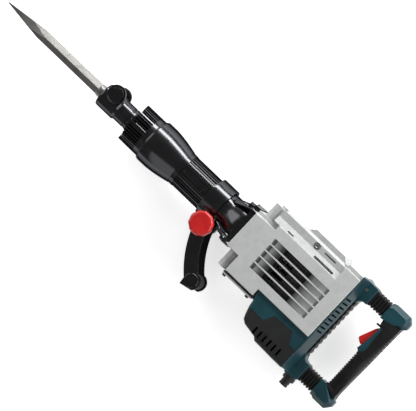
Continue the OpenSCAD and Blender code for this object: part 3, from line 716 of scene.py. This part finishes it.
def scoop_outline(top):
    """The side view of one channel: a pocket at each end and an arc from it down to the window."""
    floor = top - 12.2 * MM
    quarter = [math.pi / 2 * i / 8 for i in range(9)]
    front = [(CHANNEL[0], top + MM), (CHANNEL[0], top - 9.5 * MM), (CHANNEL[0] + 5.5 * MM, top - 9.5 * MM)]
    crest = CHANNEL[0] + 7.5 * MM
    front += [(crest + (WINDOW[0] - crest) * math.sin(a), floor + (top - 4.6 * MM - floor) * math.cos(a))
              for a in quarter]
    crest = CHANNEL[1] - 9 * MM
    back = [(crest - (crest - WINDOW[1]) * math.sin(a), floor + (top - 4.2 * MM - floor) * math.cos(a))
            for a in reversed(quarter)]
    return front + back + [(CHANNEL[1], top - 8.5 * MM), (CHANNEL[1], top + MM)]


def louvre_scoops():
    """The cutters of the left side, one for each channel."""
    for i in range(LOUVRES):
        y = LOUVRE_FIRST + i * LOUVRE_PITCH
        yield pressed("scoop", scoop_outline(COVER_TOP), y, y + LOUVRE_WIDTH, "XZ")


cover = from_drawing("side_cover_left", "side_cover_cast")
round_where(cover, 3.0 * MM, 5, is_front_edge)
round_where(cover, 1.1 * MM, 3, is_rim)
for scoop in louvre_scoops():
    cut(cover, scoop)
smooth(outwards(cover), 30)
right_cover = from_drawing("side_cover_right", "right_side_cover_cast")
for scoop in louvre_scoops():
    cut(right_cover, flipped(scoop, "right_scoop"))
round_where(right_cover, 1.0 * MM, 2, is_rim)
smooth(outwards(right_cover), 30)
stands_for(cover, "side_cover_left")
stands_for(right_cover, "side_cover_right")
print("louvre channels scooped:", LOUVRES)

# %% [markdown]
# ## Retainer discs
# Each end of the cross shaft carries a finger disc with turned grooves. It is turned in one go: the
# profile goes up and down over the grooves.

# %% Grooved discs with a thumb bar
disc_low, disc_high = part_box("retainer_discs")
disc_centre = plan_middle(disc_low, disc_high)
DISC_R = (disc_high.x - disc_low.x) / 2 - 0.1 * MM
BAR_HEIGHT = 3 * MM
disc_face = disc_high.z - BAR_HEIGHT
rim_profile = [(-6.2, 1.2), (-5.4, 0), (-1.0, 0), (-0.2, 0.6), (-0.1, 1.6), (-0.7, 2.4), (-1.5, 2.8),
               (-1.5, 4.2), (-0.9, 4.8), (-0.6, 5.6)]
profile = [(disc_face + dz * MM, DISC_R - dr * MM) for dz, dr in rim_profile]
profile.append((disc_face - 0.6 * MM, 1 * MM))
left_disc = turned("finger_discs", profile, "Z", disc_centre, 72)
bar_low = Vector((disc_low.x + 3.2 * MM, disc_centre.y - 4.9 * MM, disc_face - 2 * MM))
bar_high = Vector((disc_high.x - 3.2 * MM, disc_centre.y + 4.9 * MM, disc_high.z - 0.1 * MM))
bar = boxed("thumb_bar", bar_low, bar_high)
for i in (-1, 0, 1):
    groove_y = disc_centre.y + i * 2.8 * MM
    groove_low = (bar_low.x - MM, groove_y - 0.5 * MM, bar_high.z - 0.9 * MM)
    cut(bar, boxed("bar_groove", groove_low, (bar_high.x + MM, groove_y + 0.5 * MM, 0.05)))
round_edges(bar, 0.5 * MM, 2)
left_disc = weld([smooth(left_disc, 30), bar], "finger_discs")
right_disc = mirrored(left_disc, "right_disc")
stands_for(smooth(weld([left_disc, right_disc], "finger_discs"), 30), "retainer_discs")
print("discs turned, radius", round(DISC_R, 4))

# %% [markdown]
# ## Side handle
# The arms are flat castings that sweep back in an arc from the clamp bolt to the grip. The outline is two
# arcs with a round eye at one end and a squared boss at the other. It is pressed once, its rim is
# rounded, and the second arm is a mirrored copy.

# %% Curved arms
pivot = plan_middle(*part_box("clamp_bolt"))
grip_low, grip_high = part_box("side_grip")
grip_centre = plan_middle(grip_low, grip_high)
GRIP_R = (grip_high.x - grip_low.x) / 2
ARM_CURVE = 200 * MM
ARM_CENTRE = Vector((504 * MM, 13.4 * MM, 0))
ARM_WIDTH = 27 * MM
ARM_FROM, ARM_TO = 200, 229
EYE_R = ARM_WIDTH / 2 - 0.5 * MM
BOSS_R = 18 * MM
ARM_Z = (29 * MM, 37 * MM)


def arc(centre, radius, start, end, steps):
    """Points along an arc, with its angles in degrees."""
    angles = [math.radians(start + (end - start) * i / steps) for i in range(steps + 1)]
    return [(centre.x + radius * math.cos(a), centre.y + radius * math.sin(a)) for a in angles]


outline = arc(ARM_CENTRE, ARM_CURVE - ARM_WIDTH / 2, ARM_TO - 5, ARM_FROM + 2, 16)
outline += arc(pivot, EYE_R, 0, 190, 14)
outline += arc(ARM_CENTRE, ARM_CURVE + ARM_WIDTH / 2, ARM_FROM + 1, ARM_TO - 2, 18)
outline += [(grip_centre.x - 13 * MM, grip_centre.y - 18.6 * MM),
            (grip_centre.x + 12.5 * MM, grip_centre.y - 13.4 * MM)]
outline += arc(grip_centre, BOSS_R, -36, 88, 12)
near_arm = pressed("near_arm", outline, ARM_Z[0], ARM_Z[1])
cut(near_arm, turned("eye_cutter", [(20 * MM, 5.1 * MM), (45 * MM, 5.1 * MM)], "Z", pivot, 48))
round_edges(near_arm, 2.4 * MM, 4, 40)
cap_profile = [(36.5, 13.6), (37.5, 13.6), (37.9, 13.0), (37.9, 11.2), (37.2, 10.6), (37.2, 8.6),
               (37.9, 8.0), (37.95, 0.5)]
cap = turned("grip_cap", outline_mm(*cap_profile), "Z", grip_centre, 48)
near_arm = weld([near_arm, smooth(cap, 30)], "near_arm")
far_arm = mirrored(near_arm, "far_arm")
rod = turned("grip_rod", [(-28 * MM, 9 * MM), (28 * MM, 9 * MM)], "Z", grip_centre, 32)
arms = weld([near_arm, far_arm, rod], "side_handle_arms")
stands_for(smooth(arms, 35), "side_handle")
print("arms joined")

# %% [markdown]
# The grip is a rubber sleeve with rings. A ring is a small rise and fall of the profile, so the sleeve is
# one turned piece.

# %% Side grip
rings = 9
half_length = grip_high.z
ring_pitch = (2 * half_length - 4 * MM) / rings
grip_profile = [(-half_length, GRIP_R - 2.0 * MM), (-half_length + 1.0 * MM, GRIP_R - 0.6 * MM)]
for i in range(rings):
    z = -half_length + 2 * MM + i * ring_pitch
    grip_profile += [(z, GRIP_R - 1.4 * MM), (z + ring_pitch * 0.25, GRIP_R - 0.1 * MM),
                     (z + ring_pitch * 0.75, GRIP_R - 0.1 * MM)]
grip_profile += [(half_length - 1.0 * MM, GRIP_R - 0.6 * MM), (half_length, GRIP_R - 2.0 * MM),
                 (half_length, 9.05 * MM), (-half_length, 9.05 * MM)]
side_grip = turned("side_grip_sleeve", grip_profile, "Z", grip_centre, 56, closed=True)
stands_for(smooth(side_grip, 50), "side_grip")
print("side grip rings:", rings)

# %% [markdown]
# ## Red clamp knob
# The knob has ten soft lobes. Its outline is a circle with a wave on it. The pressed blank gets a wide
# bevel, which is what gives moulded knobs their pillow shape.

# %% Lobed knob
knob_low, knob_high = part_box("clamp_knob")
LOBES = 10
KNOB_R = knob_high.x - pivot.x - 0.1 * MM
WAVE = 0.5 * MM
knob_points = 120
knob_outline = []
for i in range(knob_points):
    a = 2 * math.pi * i / knob_points
    r = KNOB_R - WAVE + WAVE * math.cos(LOBES * a)
    knob_outline.append((pivot.x + r * math.cos(a), pivot.y + r * math.sin(a)))
knob = pressed("lobed_knob", knob_outline, knob_high.z - 15.5 * MM, knob_high.z - 0.2 * MM)
round_edges(knob, 6.5 * MM, 8, 60)
boss_profile = [(knob_low.z + 0.1 * MM, 9 * MM), (knob_low.z + 0.8 * MM, 11.9 * MM),
                (knob_high.z - 15.3 * MM, 11.9 * MM)]
boss = turned("knob_boss", boss_profile, "Z", pivot, 48)
knob = weld([knob, smooth(boss, 30)], "lobed_knob")
stands_for(smooth(knob, 34), "clamp_knob")
print("knob lobes:", LOBES)

# %% [markdown]
# ## Motor housing
# The motor sits in two mouldings: a teal shell, and a black end cover that wraps round its lower corner.
# A shell with a soft rim that ends in a flat joint is easiest to make too long: press the outline past
# the joints, round all of it, and then trim the ends off. The joint faces stay flat and sharp.

# %% Teal shell and black end cover
shell_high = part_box("motor_housing")[1]
rotor_low, rotor_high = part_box("armature")
MOTOR_X = (rotor_low.x + rotor_high.x) / 2
shell_top = shell_high.z - 0.1 * MM
CASE_LINE = -60.1 * MM
motor_outline = outline_mm(
    (481, -40), (481, -78), (486, -82), (488, -95), (493.5, -112), (497, -119.5), (505, -125), (534, -130),
    (540, -135.5), (586, -136.9), (630, -136.9), (630, -40))
black_outline = outline_mm(
    (470, -95.4), (526.6, -95.6), (537, -75.2), (582, -73.2), (593.7, -95.2), (640, -96.2), (640, -150),
    (470, -150))


def motor_moulding(name, top, rim):
    """The whole motor outline with a rounded rim, trimmed at the crankcase and at the rear cover."""
    moulding = pressed(name, motor_outline, -top, top)
    round_edges(moulding, rim, 6, 50)
    cut(moulding, boxed("trim", (0.4, CASE_LINE, -0.1), (0.7, 0, 0.1)))
    cut(moulding, boxed("trim", (shell_high.x, -0.2, -0.1), (0.7, 0.1, 0.1)))
    for start, end, radius in ((-112.1, -50, 44.1), (-127, -110, 40), (-134, -120, 9.02)):
        bore = [(start * MM, radius * MM), (end * MM, radius * MM)]
        cut(moulding, turned("bore", bore, "Y", (MOTOR_X, 0, 0), 64))
    return moulding


teal_shell = motor_moulding("motor_shell", shell_top, 7 * MM)
cut(teal_shell, pressed("black_zone", black_outline, -0.08, 0.08))
black_cover = motor_moulding("motor_end_shell", shell_top - 0.5 * MM, 7 * MM)
combine(black_cover, pressed("black_zone", black_outline, -0.08, 0.08), "INTERSECT")
VENTS = 6
VENT_FIRST, VENT_PITCH = 528, 12   # millimetres along the tool
for i in range(VENTS):
    x = (VENT_FIRST + VENT_PITCH * i) * MM
    slot_low = Vector((x - 2.2 * MM, -127.8 * MM, -0.07))
    slot_high = Vector((x + 2.2 * MM, -111.8 * MM, 0.07))
    slot = boxed("vent", slot_low, slot_high)
    round_where(slot, 2.1 * MM, 4, lambda middle, along: abs(along.z) > 0.1)
    middle_low, middle_high = slot_low + Vector((-MM, -MM, 0.034)), slot_high + Vector((MM, MM, -0.034))
    cut(slot, boxed("slot_middle", middle_low, middle_high))
    cut(black_cover, slot)
for moulding, node_name in ((teal_shell, "motor_housing"), (black_cover, "motor_end_cover")):
    round_edges(outwards(moulding), 0.5 * MM, 2, 55)
    stands_for(moulding, node_name)
print("motor mouldings:", teal_shell.name, black_cover.name)

# %% [markdown]
# ## Rear cover
# The rear cover is a bevelled column behind the crankcase with two arms that carry the handle. Where an
# arm leaves the column the hand opening has round corners, so the arms are pressed from one outline with
# two arcs. Slots go in last, because the rim's bevel would otherwise run into them.

# %% Column, arms and air slots
JOINT_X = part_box("rear_cover")[0].x
CORNER = 10 * MM
SLOT_ROWS = 9
SLOT_FIRST, SLOT_PITCH = -42, 10   # millimetres up the column
column_outline = outline_mm(
    (600, -55.9), (612, -55.9), (621.9, -24), (621.9, 24), (612, 55.9), (600, 55.9))
column = pressed("rear_shell", column_outline, -135.9 * MM, 92.9 * MM, "XZ")
round_edges(column, 1.6 * MM, 3, 12)
upper, lower = Vector(mm(636, 45, 0)), Vector(mm(636, -89, 0))
arms_outline = [mm(612, 92), mm(639, 92), mm(642, 89), mm(642, 55)]
arms_outline += arc(upper, CORNER, 90, 180, 8)
arms_outline += [mm(620, 42), mm(620, -86)]
arms_outline += arc(lower, CORNER, 180, 270, 8)
arms_outline += [mm(644, -99), mm(644, -134), mm(641, -136.9), mm(612, -136.9)]
arms_block = pressed("rear_arms", arms_outline, -19.9 * MM, 19.9 * MM)
round_edges(arms_block, 3.2 * MM, 4, 50)
combine(column, arms_block, "UNION")
foot = boxed("gland_foot", mm(613, -140.9, -13.9), mm(639.9, -130, 13.9))
round_edges(foot, 2 * MM, 3)
combine(column, foot, "UNION")
cut(column, boxed("trim", (0.58, -0.2, -0.1), (JOINT_X, 0.2, 0.1)))
pins_low, pins_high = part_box("damper_pins")
damper_y = (pins_high.y - 8 * MM, pins_low.y + 8 * MM)
for y in damper_y:
    cut(column, turned("pocket", [(618 * MM, 12 * MM), (646 * MM, 12 * MM)], "X", (0, y, 0), 40))
    cut(column, turned("guide", [(608 * MM, 5.1 * MM), (646 * MM, 5.1 * MM)], "X", (0, y, 0), 32))
for side in (-1, 1):
    seat = turned("screw_seat", [(15.5 * MM, 4.2 * MM), (45 * MM, 4.2 * MM)], "Z", mm(624, 76, 0), 28)
    if side < 0:
        seat = flipped(seat, "screw_seat_right")
    cut(column, seat)
    for row in range(SLOT_ROWS):
        y = (SLOT_FIRST + SLOT_PITCH * row) * MM
        inner, outer = sorted((side * 31 * MM, side * 70 * MM))
        slot = boxed("air_slot", (611.5 * MM, y, inner), (640 * MM, y + 4 * MM, outer))
        round_where(slot, 1.2 * MM, 3, lambda middle, along: abs(along.x) > 10 * MM)
        cut(column, slot)
gland_low, gland_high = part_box("cable_gland")
gland_x = (gland_low.x + gland_high.x) / 2
cut(column, turned("gland_seat", [(-150 * MM, 9.1 * MM), (-128 * MM, 9.1 * MM)], "Y", (gland_x, 0, 0), 40))
round_edges(outwards(column), 0.4 * MM, 2, 60)
stands_for(column, "rear_cover")
print("rear cover faces:", len(column.data.polygons))

# %% [markdown]
# ## D handle
# The grip is a rubber sleeve between two teal end blocks. The blocks have flat facets, cut by a wide
# bevel of one segment on their outer edges only, so the edges are picked by where they lie. The sleeve
# has a round rim, ribs for the fingers in front and shallower ones for the palm behind.

# %% End blocks
GRIP_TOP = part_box("handle_shell")[1].z - 0.1 * MM


def end_block(name, outline, is_outer):
    """A faceted block: wide flat bevels outside, small round ones elsewhere."""
    block = pressed(name, outline_mm(*outline), -GRIP_TOP, GRIP_TOP)
    round_where(block, 9 * MM, 1, lambda middle, along: abs(along.z) < MM and is_outer(middle))
    return round_edges(block, 1.3 * MM, 3, 20)


upper_block = end_block("upper_block", (
    (677, 55.5), (677, 92), (683, 94.9), (719, 94.9), (728.9, 85), (728.9, 72), (722.5, 65.9),
    (683.7, 56.2)),
    lambda middle: middle.y > 84 * MM and middle.x > 679 * MM or middle.x > 724 * MM)
lower_block = end_block("lower_block", (
    (677, -101), (677, -138), (683, -138), (687, -140.9), (714.5, -140.9), (724.4, -128), (724.4, -117),
    (719.5, -114.4), (687, -101.9)),
    lambda middle: middle.y < -130 * MM or middle.x > 721 * MM)
core_sides = outline_mm((695, 70), (713, 70), (711, -118), (697, -118))
core = pressed("grip_core", core_sides, -11 * MM, 11 * MM)
cut(core, boxed("switch_room", mm(690, -14, -8), mm(708, 46, 8)))
blocks = weld([upper_block, lower_block, core], "handle_blocks")
for y in damper_y:
    seat_profile = [mm(670, 5.1), mm(683, 5.1), mm(683.1, 8.1), mm(690.1, 8.1)]
    cut(blocks, turned("pin_seat", seat_profile, "X", (0, y, 0), 32))
stands_for(smooth(blocks, 20), "handle_shell")
print("end blocks joined")

# %% [markdown]
# The cheeks of the trigger bezel are teal too and lie in a hollow of the sleeve. The same outline makes
# the cheeks and the hollow, so they always fit.

# %% Sleeve, ribs and trigger bezel
sleeve_outline = outline_mm(
    (683.6, 56), (721.8, 65.6), (721.4, 62), (720, -30), (717.7, -106), (719, -114), (687, -101.6),
    (690, -94), (689, -20), (686.2, 44))
sleeve = pressed("grip_sleeve", sleeve_outline, -GRIP_TOP, GRIP_TOP)
round_where(sleeve, 8.5 * MM, 6, lambda middle, along: abs(along.z) < MM and -100 * MM < middle.y < 54 * MM)
round_edges(sleeve, 0.8 * MM, 2, 50)
FINGER_PITCH = 5.6 * MM
FINGER_DEPTH = 1.5 * MM
FINGER_FIRST = -99 * MM
PALM_FIRST, PALM_PITCH = -94, 8   # millimetres along the grip
corner = Vector((698.4 * MM, GRIP_TOP - 8.5 * MM, 0))
finger_side = [(708 * MM, GRIP_TOP - FINGER_DEPTH)]
finger_side += arc(corner, 8.5 * MM - FINGER_DEPTH, 90, 180, 8)
finger_side += [(x, -z) for x, z in reversed(finger_side)]
finger_side += [mm(708, -24), mm(680, -24), mm(680, 24), mm(708, 24)]
for i in range(14):
    y = FINGER_FIRST + i * FINGER_PITCH
    cut(sleeve, pressed("finger_groove", finger_side, y, y + 2.6 * MM, "XZ"))
for i in range(18):
    y = (PALM_FIRST + PALM_PITCH * i) * MM
    groove = boxed("palm_groove", (718.2 * MM, y, -0.014), (0.73, y + 2.4 * MM, 0.014))
    round_where(groove, 0.9 * MM, 2, lambda middle, along: abs(along.z) > 10 * MM)
    cut(sleeve, groove)
cheek_outline = outline_mm(
    (684, -14), (689, -18), (696.5, -14), (700, -6), (698.5, 16), (696.5, 42), (694, 47), (690.5, 42),
    (687, 2))
cut(sleeve, pressed("cheek_hollow", cheek_outline, -0.03, 0.03))
trigger_room = outline_mm((670, -14), (684, -14), (688, 2), (692, 43), (670, 43))
cut(sleeve, pressed("trigger_room", trigger_room, -0.03, 0.03))
core_outline = outline_mm((694.9, 70), (713.1, 70), (711.1, -118), (696.9, -118))
cut(sleeve, pressed("core_room", core_outline, -11.1 * MM, 11.1 * MM))
stands_for(smooth(outwards(sleeve), 40), "grip_rubber")

cheek = pressed("left_cheek", cheek_outline, 8.5 * MM, GRIP_TOP - 1.2 * MM)
round_where(cheek, 4.5 * MM, 5,
            lambda middle, along: middle.z > 12 * MM and middle.x < 691 * MM and abs(along.z) < MM)
round_edges(cheek, 0.9 * MM, 3, 40)
bridge = boxed("bezel_bridge", mm(689, -16.5, -9), mm(694.5, -14.3, 9))
cheeks = weld([cheek, mirrored(cheek, "right_cheek"), bridge], "trigger_cheeks")
stands_for(smooth(cheeks, 35), "trigger_bezel")
print("sleeve and cheeks ready")

# %% [markdown]
# The trigger is a wedge with round edges. Its pivot pin is turned and joined on.

# %% Trigger
trigger_outline = outline_mm(
    (688.5, 40.3), (684, 34), (671.6, 3.2), (671.6, 0.9), (673.6, -0.7), (682, -6.4), (689, -4.9),
    (693.1, 36), (692.4, 40.3))
trigger = pressed("trigger_wedge", trigger_outline, -7.8 * MM, 7.8 * MM)
round_edges(trigger, 1.8 * MM, 4, 40)
pivot_pin = turned("pivot_pin", [(-8.2 * MM, 1.95 * MM), (8.2 * MM, 1.95 * MM)], "Z", mm(690, 38, 0), 24)
stands_for(smooth(weld([trigger, pivot_pin], "trigger_wedge"), 35), "trigger")
print("trigger ready")

# %% [markdown]
# ## Bellows and damper springs
# Two rubber bellows close the gaps in which the handle slides. A bellows is a rounded square that grows
# along the tool: each fold is one extrusion out and one back in.

# %% Bellows
FOLDS = 5
FOLD = ((0.42, 1.0), (0.58, 0.82), (0.62, 0.79), (0.86, 0.79), (0.9, 0.82), (1.05, 1.0))


def rounded_square(half, corner, steps):
    """Points of a square with round corners, as (side, up)."""
    points = []
    for quarter in range(4):
        a0 = quarter * 90
        cx = (half - corner) * (1 if quarter in (0, 3) else -1)
        cy = (half - corner) * (1 if quarter in (0, 1) else -1)
        for i in range(steps + 1):
            a = math.radians(a0 + 90 * i / steps)
            points.append((cx + corner * math.cos(a), cy + corner * math.sin(a)))
    return points


def bellows(name, centre_y, start, end):
    """A folded tube from start to end along X."""
    half = 16.9 * MM
    centre = Vector((0, centre_y, 0))
    points = [(centre_y + u, v) for u, v in rounded_square(half, 5 * MM, 5)]
    pitch = (end - start) / FOLDS
    tube = pressed(name, points, start, start + 0.05 * pitch, "YZ")
    take(tube)
    bpy.ops.object.mode_set(mode="EDIT")
    bpy.ops.mesh.select_mode(type="FACE")
    bpy.ops.mesh.select_all(action="DESELECT")
    bpy.ops.object.mode_set(mode="OBJECT")
    for face in tube.data.polygons:
        face.select = face.center.x > start + 0.04 * pitch and abs(face.normal.x) > 0.9
    bpy.ops.object.mode_set(mode="EDIT")
    place, size = start + 0.05 * pitch, 1.0
    for fold in range(FOLDS):
        for share, target in FOLD:
            x = min(start + (fold + share) * pitch, end)
            target = target if x < end else 0.86
            if x - place < 0.01 * pitch:
                continue
            bpy.ops.mesh.extrude_region_move(TRANSFORM_OT_translate={"value": (x - place, 0, 0)})
            ratio = target / size
            ring_centre = centre + Vector((x, 0, 0))
            bpy.ops.transform.resize(value=(ratio, ratio, ratio), center_override=ring_centre)
            place, size = x, target
    bpy.ops.object.mode_set(mode="OBJECT")
    outwards(tube)
    round_edges(tube, 0.5 * MM, 3, 20)
    return cut(tube, turned("bore", [(start - MM, 12.4 * MM), (end + MM, 12.4 * MM)], "X", centre, 40))


bellows_low, bellows_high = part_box("handle_bellows")
upper_y, lower_y = bellows_high.y - 17 * MM, bellows_low.y + 17 * MM
upper_start, lower_start = bellows_low.x, bellows_low.x + 2 * MM
upper_bellows = bellows("upper_bellows", upper_y, upper_start, bellows_high.x)
lower_bellows = bellows("lower_bellows", lower_y, lower_start, bellows_high.x)
both_bellows = smooth(weld([upper_bellows, lower_bellows], "rubber_bellows"), 40)
spans(both_bellows, "handle_bellows", "black_rubber")
print("bellows folds:", FOLDS)

# %% [markdown]
# Inside each bellows a coil spring carries the handle. A coil is one small circle swept along a screw
# line, which is what the Screw modifier does.

# %% Coil springs
springs_low, springs_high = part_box("damper_springs")
COILS = 7


def coil_spring(name, centre_y):
    """A coil from the housing to the handle."""
    start_clean()
    length = springs_high.x - springs_low.x - 2.8 * MM
    first_turn = (springs_low.x + 1.4 * MM, 0, 7.5 * MM)
    bpy.ops.mesh.primitive_circle_add(vertices=12, radius=1.3 * MM, location=first_turn,
                                      rotation=FACING["Y"], fill_type="NOTHING")
    coil = named(name)
    apply_modifier(coil, "SCREW", axis="X", angle=2 * math.pi, screw_offset=length / COILS,
                   iterations=COILS, steps=28, render_steps=28, use_merge_vertices=False)
    bpy.ops.object.mode_set(mode="EDIT")
    bpy.ops.mesh.select_all(action="SELECT")
    bpy.ops.mesh.fill_holes(sides=0)
    bpy.ops.mesh.select_all(action="SELECT")
    bpy.ops.transform.translate(value=(0, centre_y, 0))
    return outwards(named(name))


upper_coil = coil_spring("upper_coil", damper_y[0])
lower_coil = coil_spring("lower_coil", damper_y[1])
coils = weld([upper_coil, lower_coil], "damper_coils")
spans(smooth(coils, 50), "damper_springs", "machined_steel")
print("coils:", COILS)

# %% [markdown]
# ## Cable gland
# The gland is a rubber sleeve with collars, turned along Y round the bore that takes the cord.

# %% Turned gland
gland_profile = [(-129.6, 4.6), (-129.1, 5.2), (-129.1, 8.9), (-141.2, 8.9), (-141.2, 12.6), (-141.7, 12.9),
                 (-148.4, 12.9), (-149, 12.4), (-149.8, 9.3), (-151.5, 9.3), (-152, 8.3), (-153, 8.3),
                 (-153.5, 9.2), (-156.2, 9.2), (-156.7, 8.2), (-157.8, 8.2), (-158.3, 9.1),
                 (-162.2, 9.1), (-162.9, 8.4), (-162.9, 4.6)]
gland = turned("cord_gland", outline_mm(*gland_profile), "Y", (gland_x, 0, 0), 56, closed=True)
stands_for(smooth(gland, 40), "cable_gland")
print("gland turned")

# %% [markdown]
# ## Camera, floor and light
# The camera looks down on the tool's left side through a long lens, a little from behind and from above
# the gear cover, and it is rolled so that the chisel points up to the left. Its distance is large,
# because a long lens keeps the two ends of a long tool at nearly the same scale.

# %% Camera
VIEW_BACK = 0.174   # how far the view leans towards the handle, as a slope
VIEW_UP = 0.073     # how far it leans towards the gear cover
ROLL = math.radians(43.8)
DISTANCE = 8.0
FRAME_WIDTH = 0.782  # width that the picture covers at the tool's axis
aim = Vector((0.2928, -0.0167, 0))

back = Vector((VIEW_BACK, VIEW_UP, 1)).normalized()
tool_right = (Vector((1, 0, 0)) - back * back.x).normalized()
tool_up = back.cross(tool_right)
right = tool_right * math.cos(ROLL) + tool_up * math.sin(ROLL)
up = tool_up * math.cos(ROLL) - tool_right * math.sin(ROLL)
start_clean()
bpy.ops.object.camera_add(location=aim + back * DISTANCE)
camera = bpy.context.object
camera.rotation_mode = "QUATERNION"
turn = camera.matrix_world.to_3x3()
turn.col[0], turn.col[1], turn.col[2] = right, up, back
camera.rotation_quaternion = turn.to_quaternion()
camera.data.sensor_width = 36
camera.data.lens = camera.data.sensor_width * DISTANCE / FRAME_WIDTH
camera.data.clip_end = 50
bpy.context.scene.camera = camera
print("camera lens:", round(camera.data.lens), "mm")

# %% [markdown]
# The floor is pale and plain. A long narrow lamp beyond the gear cover draws the long highlight along the
# black barrel, a softer one fills from the other side, and the pale world lifts the shadows.

# %% Floor and lamps
start_clean()
bpy.ops.mesh.primitive_plane_add(size=12, location=(0.3, 0, cad_low.z - 0.4 * MM))
floor = bpy.context.object
floor.name = "studio_floor"
floor_finish = Finish("pale_floor", Base_Color=(0.9, 0.9, 0.9, 1), Roughness=0.9,
                      Emission_Color=(1, 1, 1, 1), Emission_Strength=0.6)
floor.data.materials.append(floor_finish.material)


def lamp(name, place, target, power, width, height):
    """A soft rectangular lamp aimed at a point."""
    start_clean()
    bpy.ops.object.light_add(type="AREA", location=place)
    light = bpy.context.object
    light.name = name
    light.data.shape = "RECTANGLE"
    light.data.size, light.data.size_y = width, height
    light.data.energy = power
    towards = Vector(target) - Vector(place)
    light.rotation_mode = "QUATERNION"
    light.rotation_quaternion = towards.to_track_quat("-Z", "X")
    return light


lamp("key_lamp", (0.35, 1.85, 0.8), (0.3, 0, 0), 58, 0.45, 2.8)
lamp("fill_lamp", (0.9, -1.9, 1.1), (0.35, -0.02, 0), 11, 2.4, 2.0)
lamp("front_lamp", (-1.7, 0.2, 1.1), (0.1, 0, 0), 22, 1.8, 1.8)
lamp("back_lamp", (2.3, 0.3, 1.1), (0.5, 0, 0), 22, 1.8, 1.8)
world = bpy.data.worlds.new("pale_studio")
bpy.context.scene.world = world
world.use_nodes = True
background = world.node_tree.nodes["Background"]
background.inputs["Color"].default_value = (1, 1, 1, 1)
background.inputs["Strength"].default_value = 0.12
bpy.context.scene.view_settings.view_transform = "Standard"
print("lamps and floor ready")

# %% [markdown]
# ## The pieces made
# The new pieces stay inside the box of the drawing.

# %% Count the pieces made
import json

print("pieces made:", len(made))
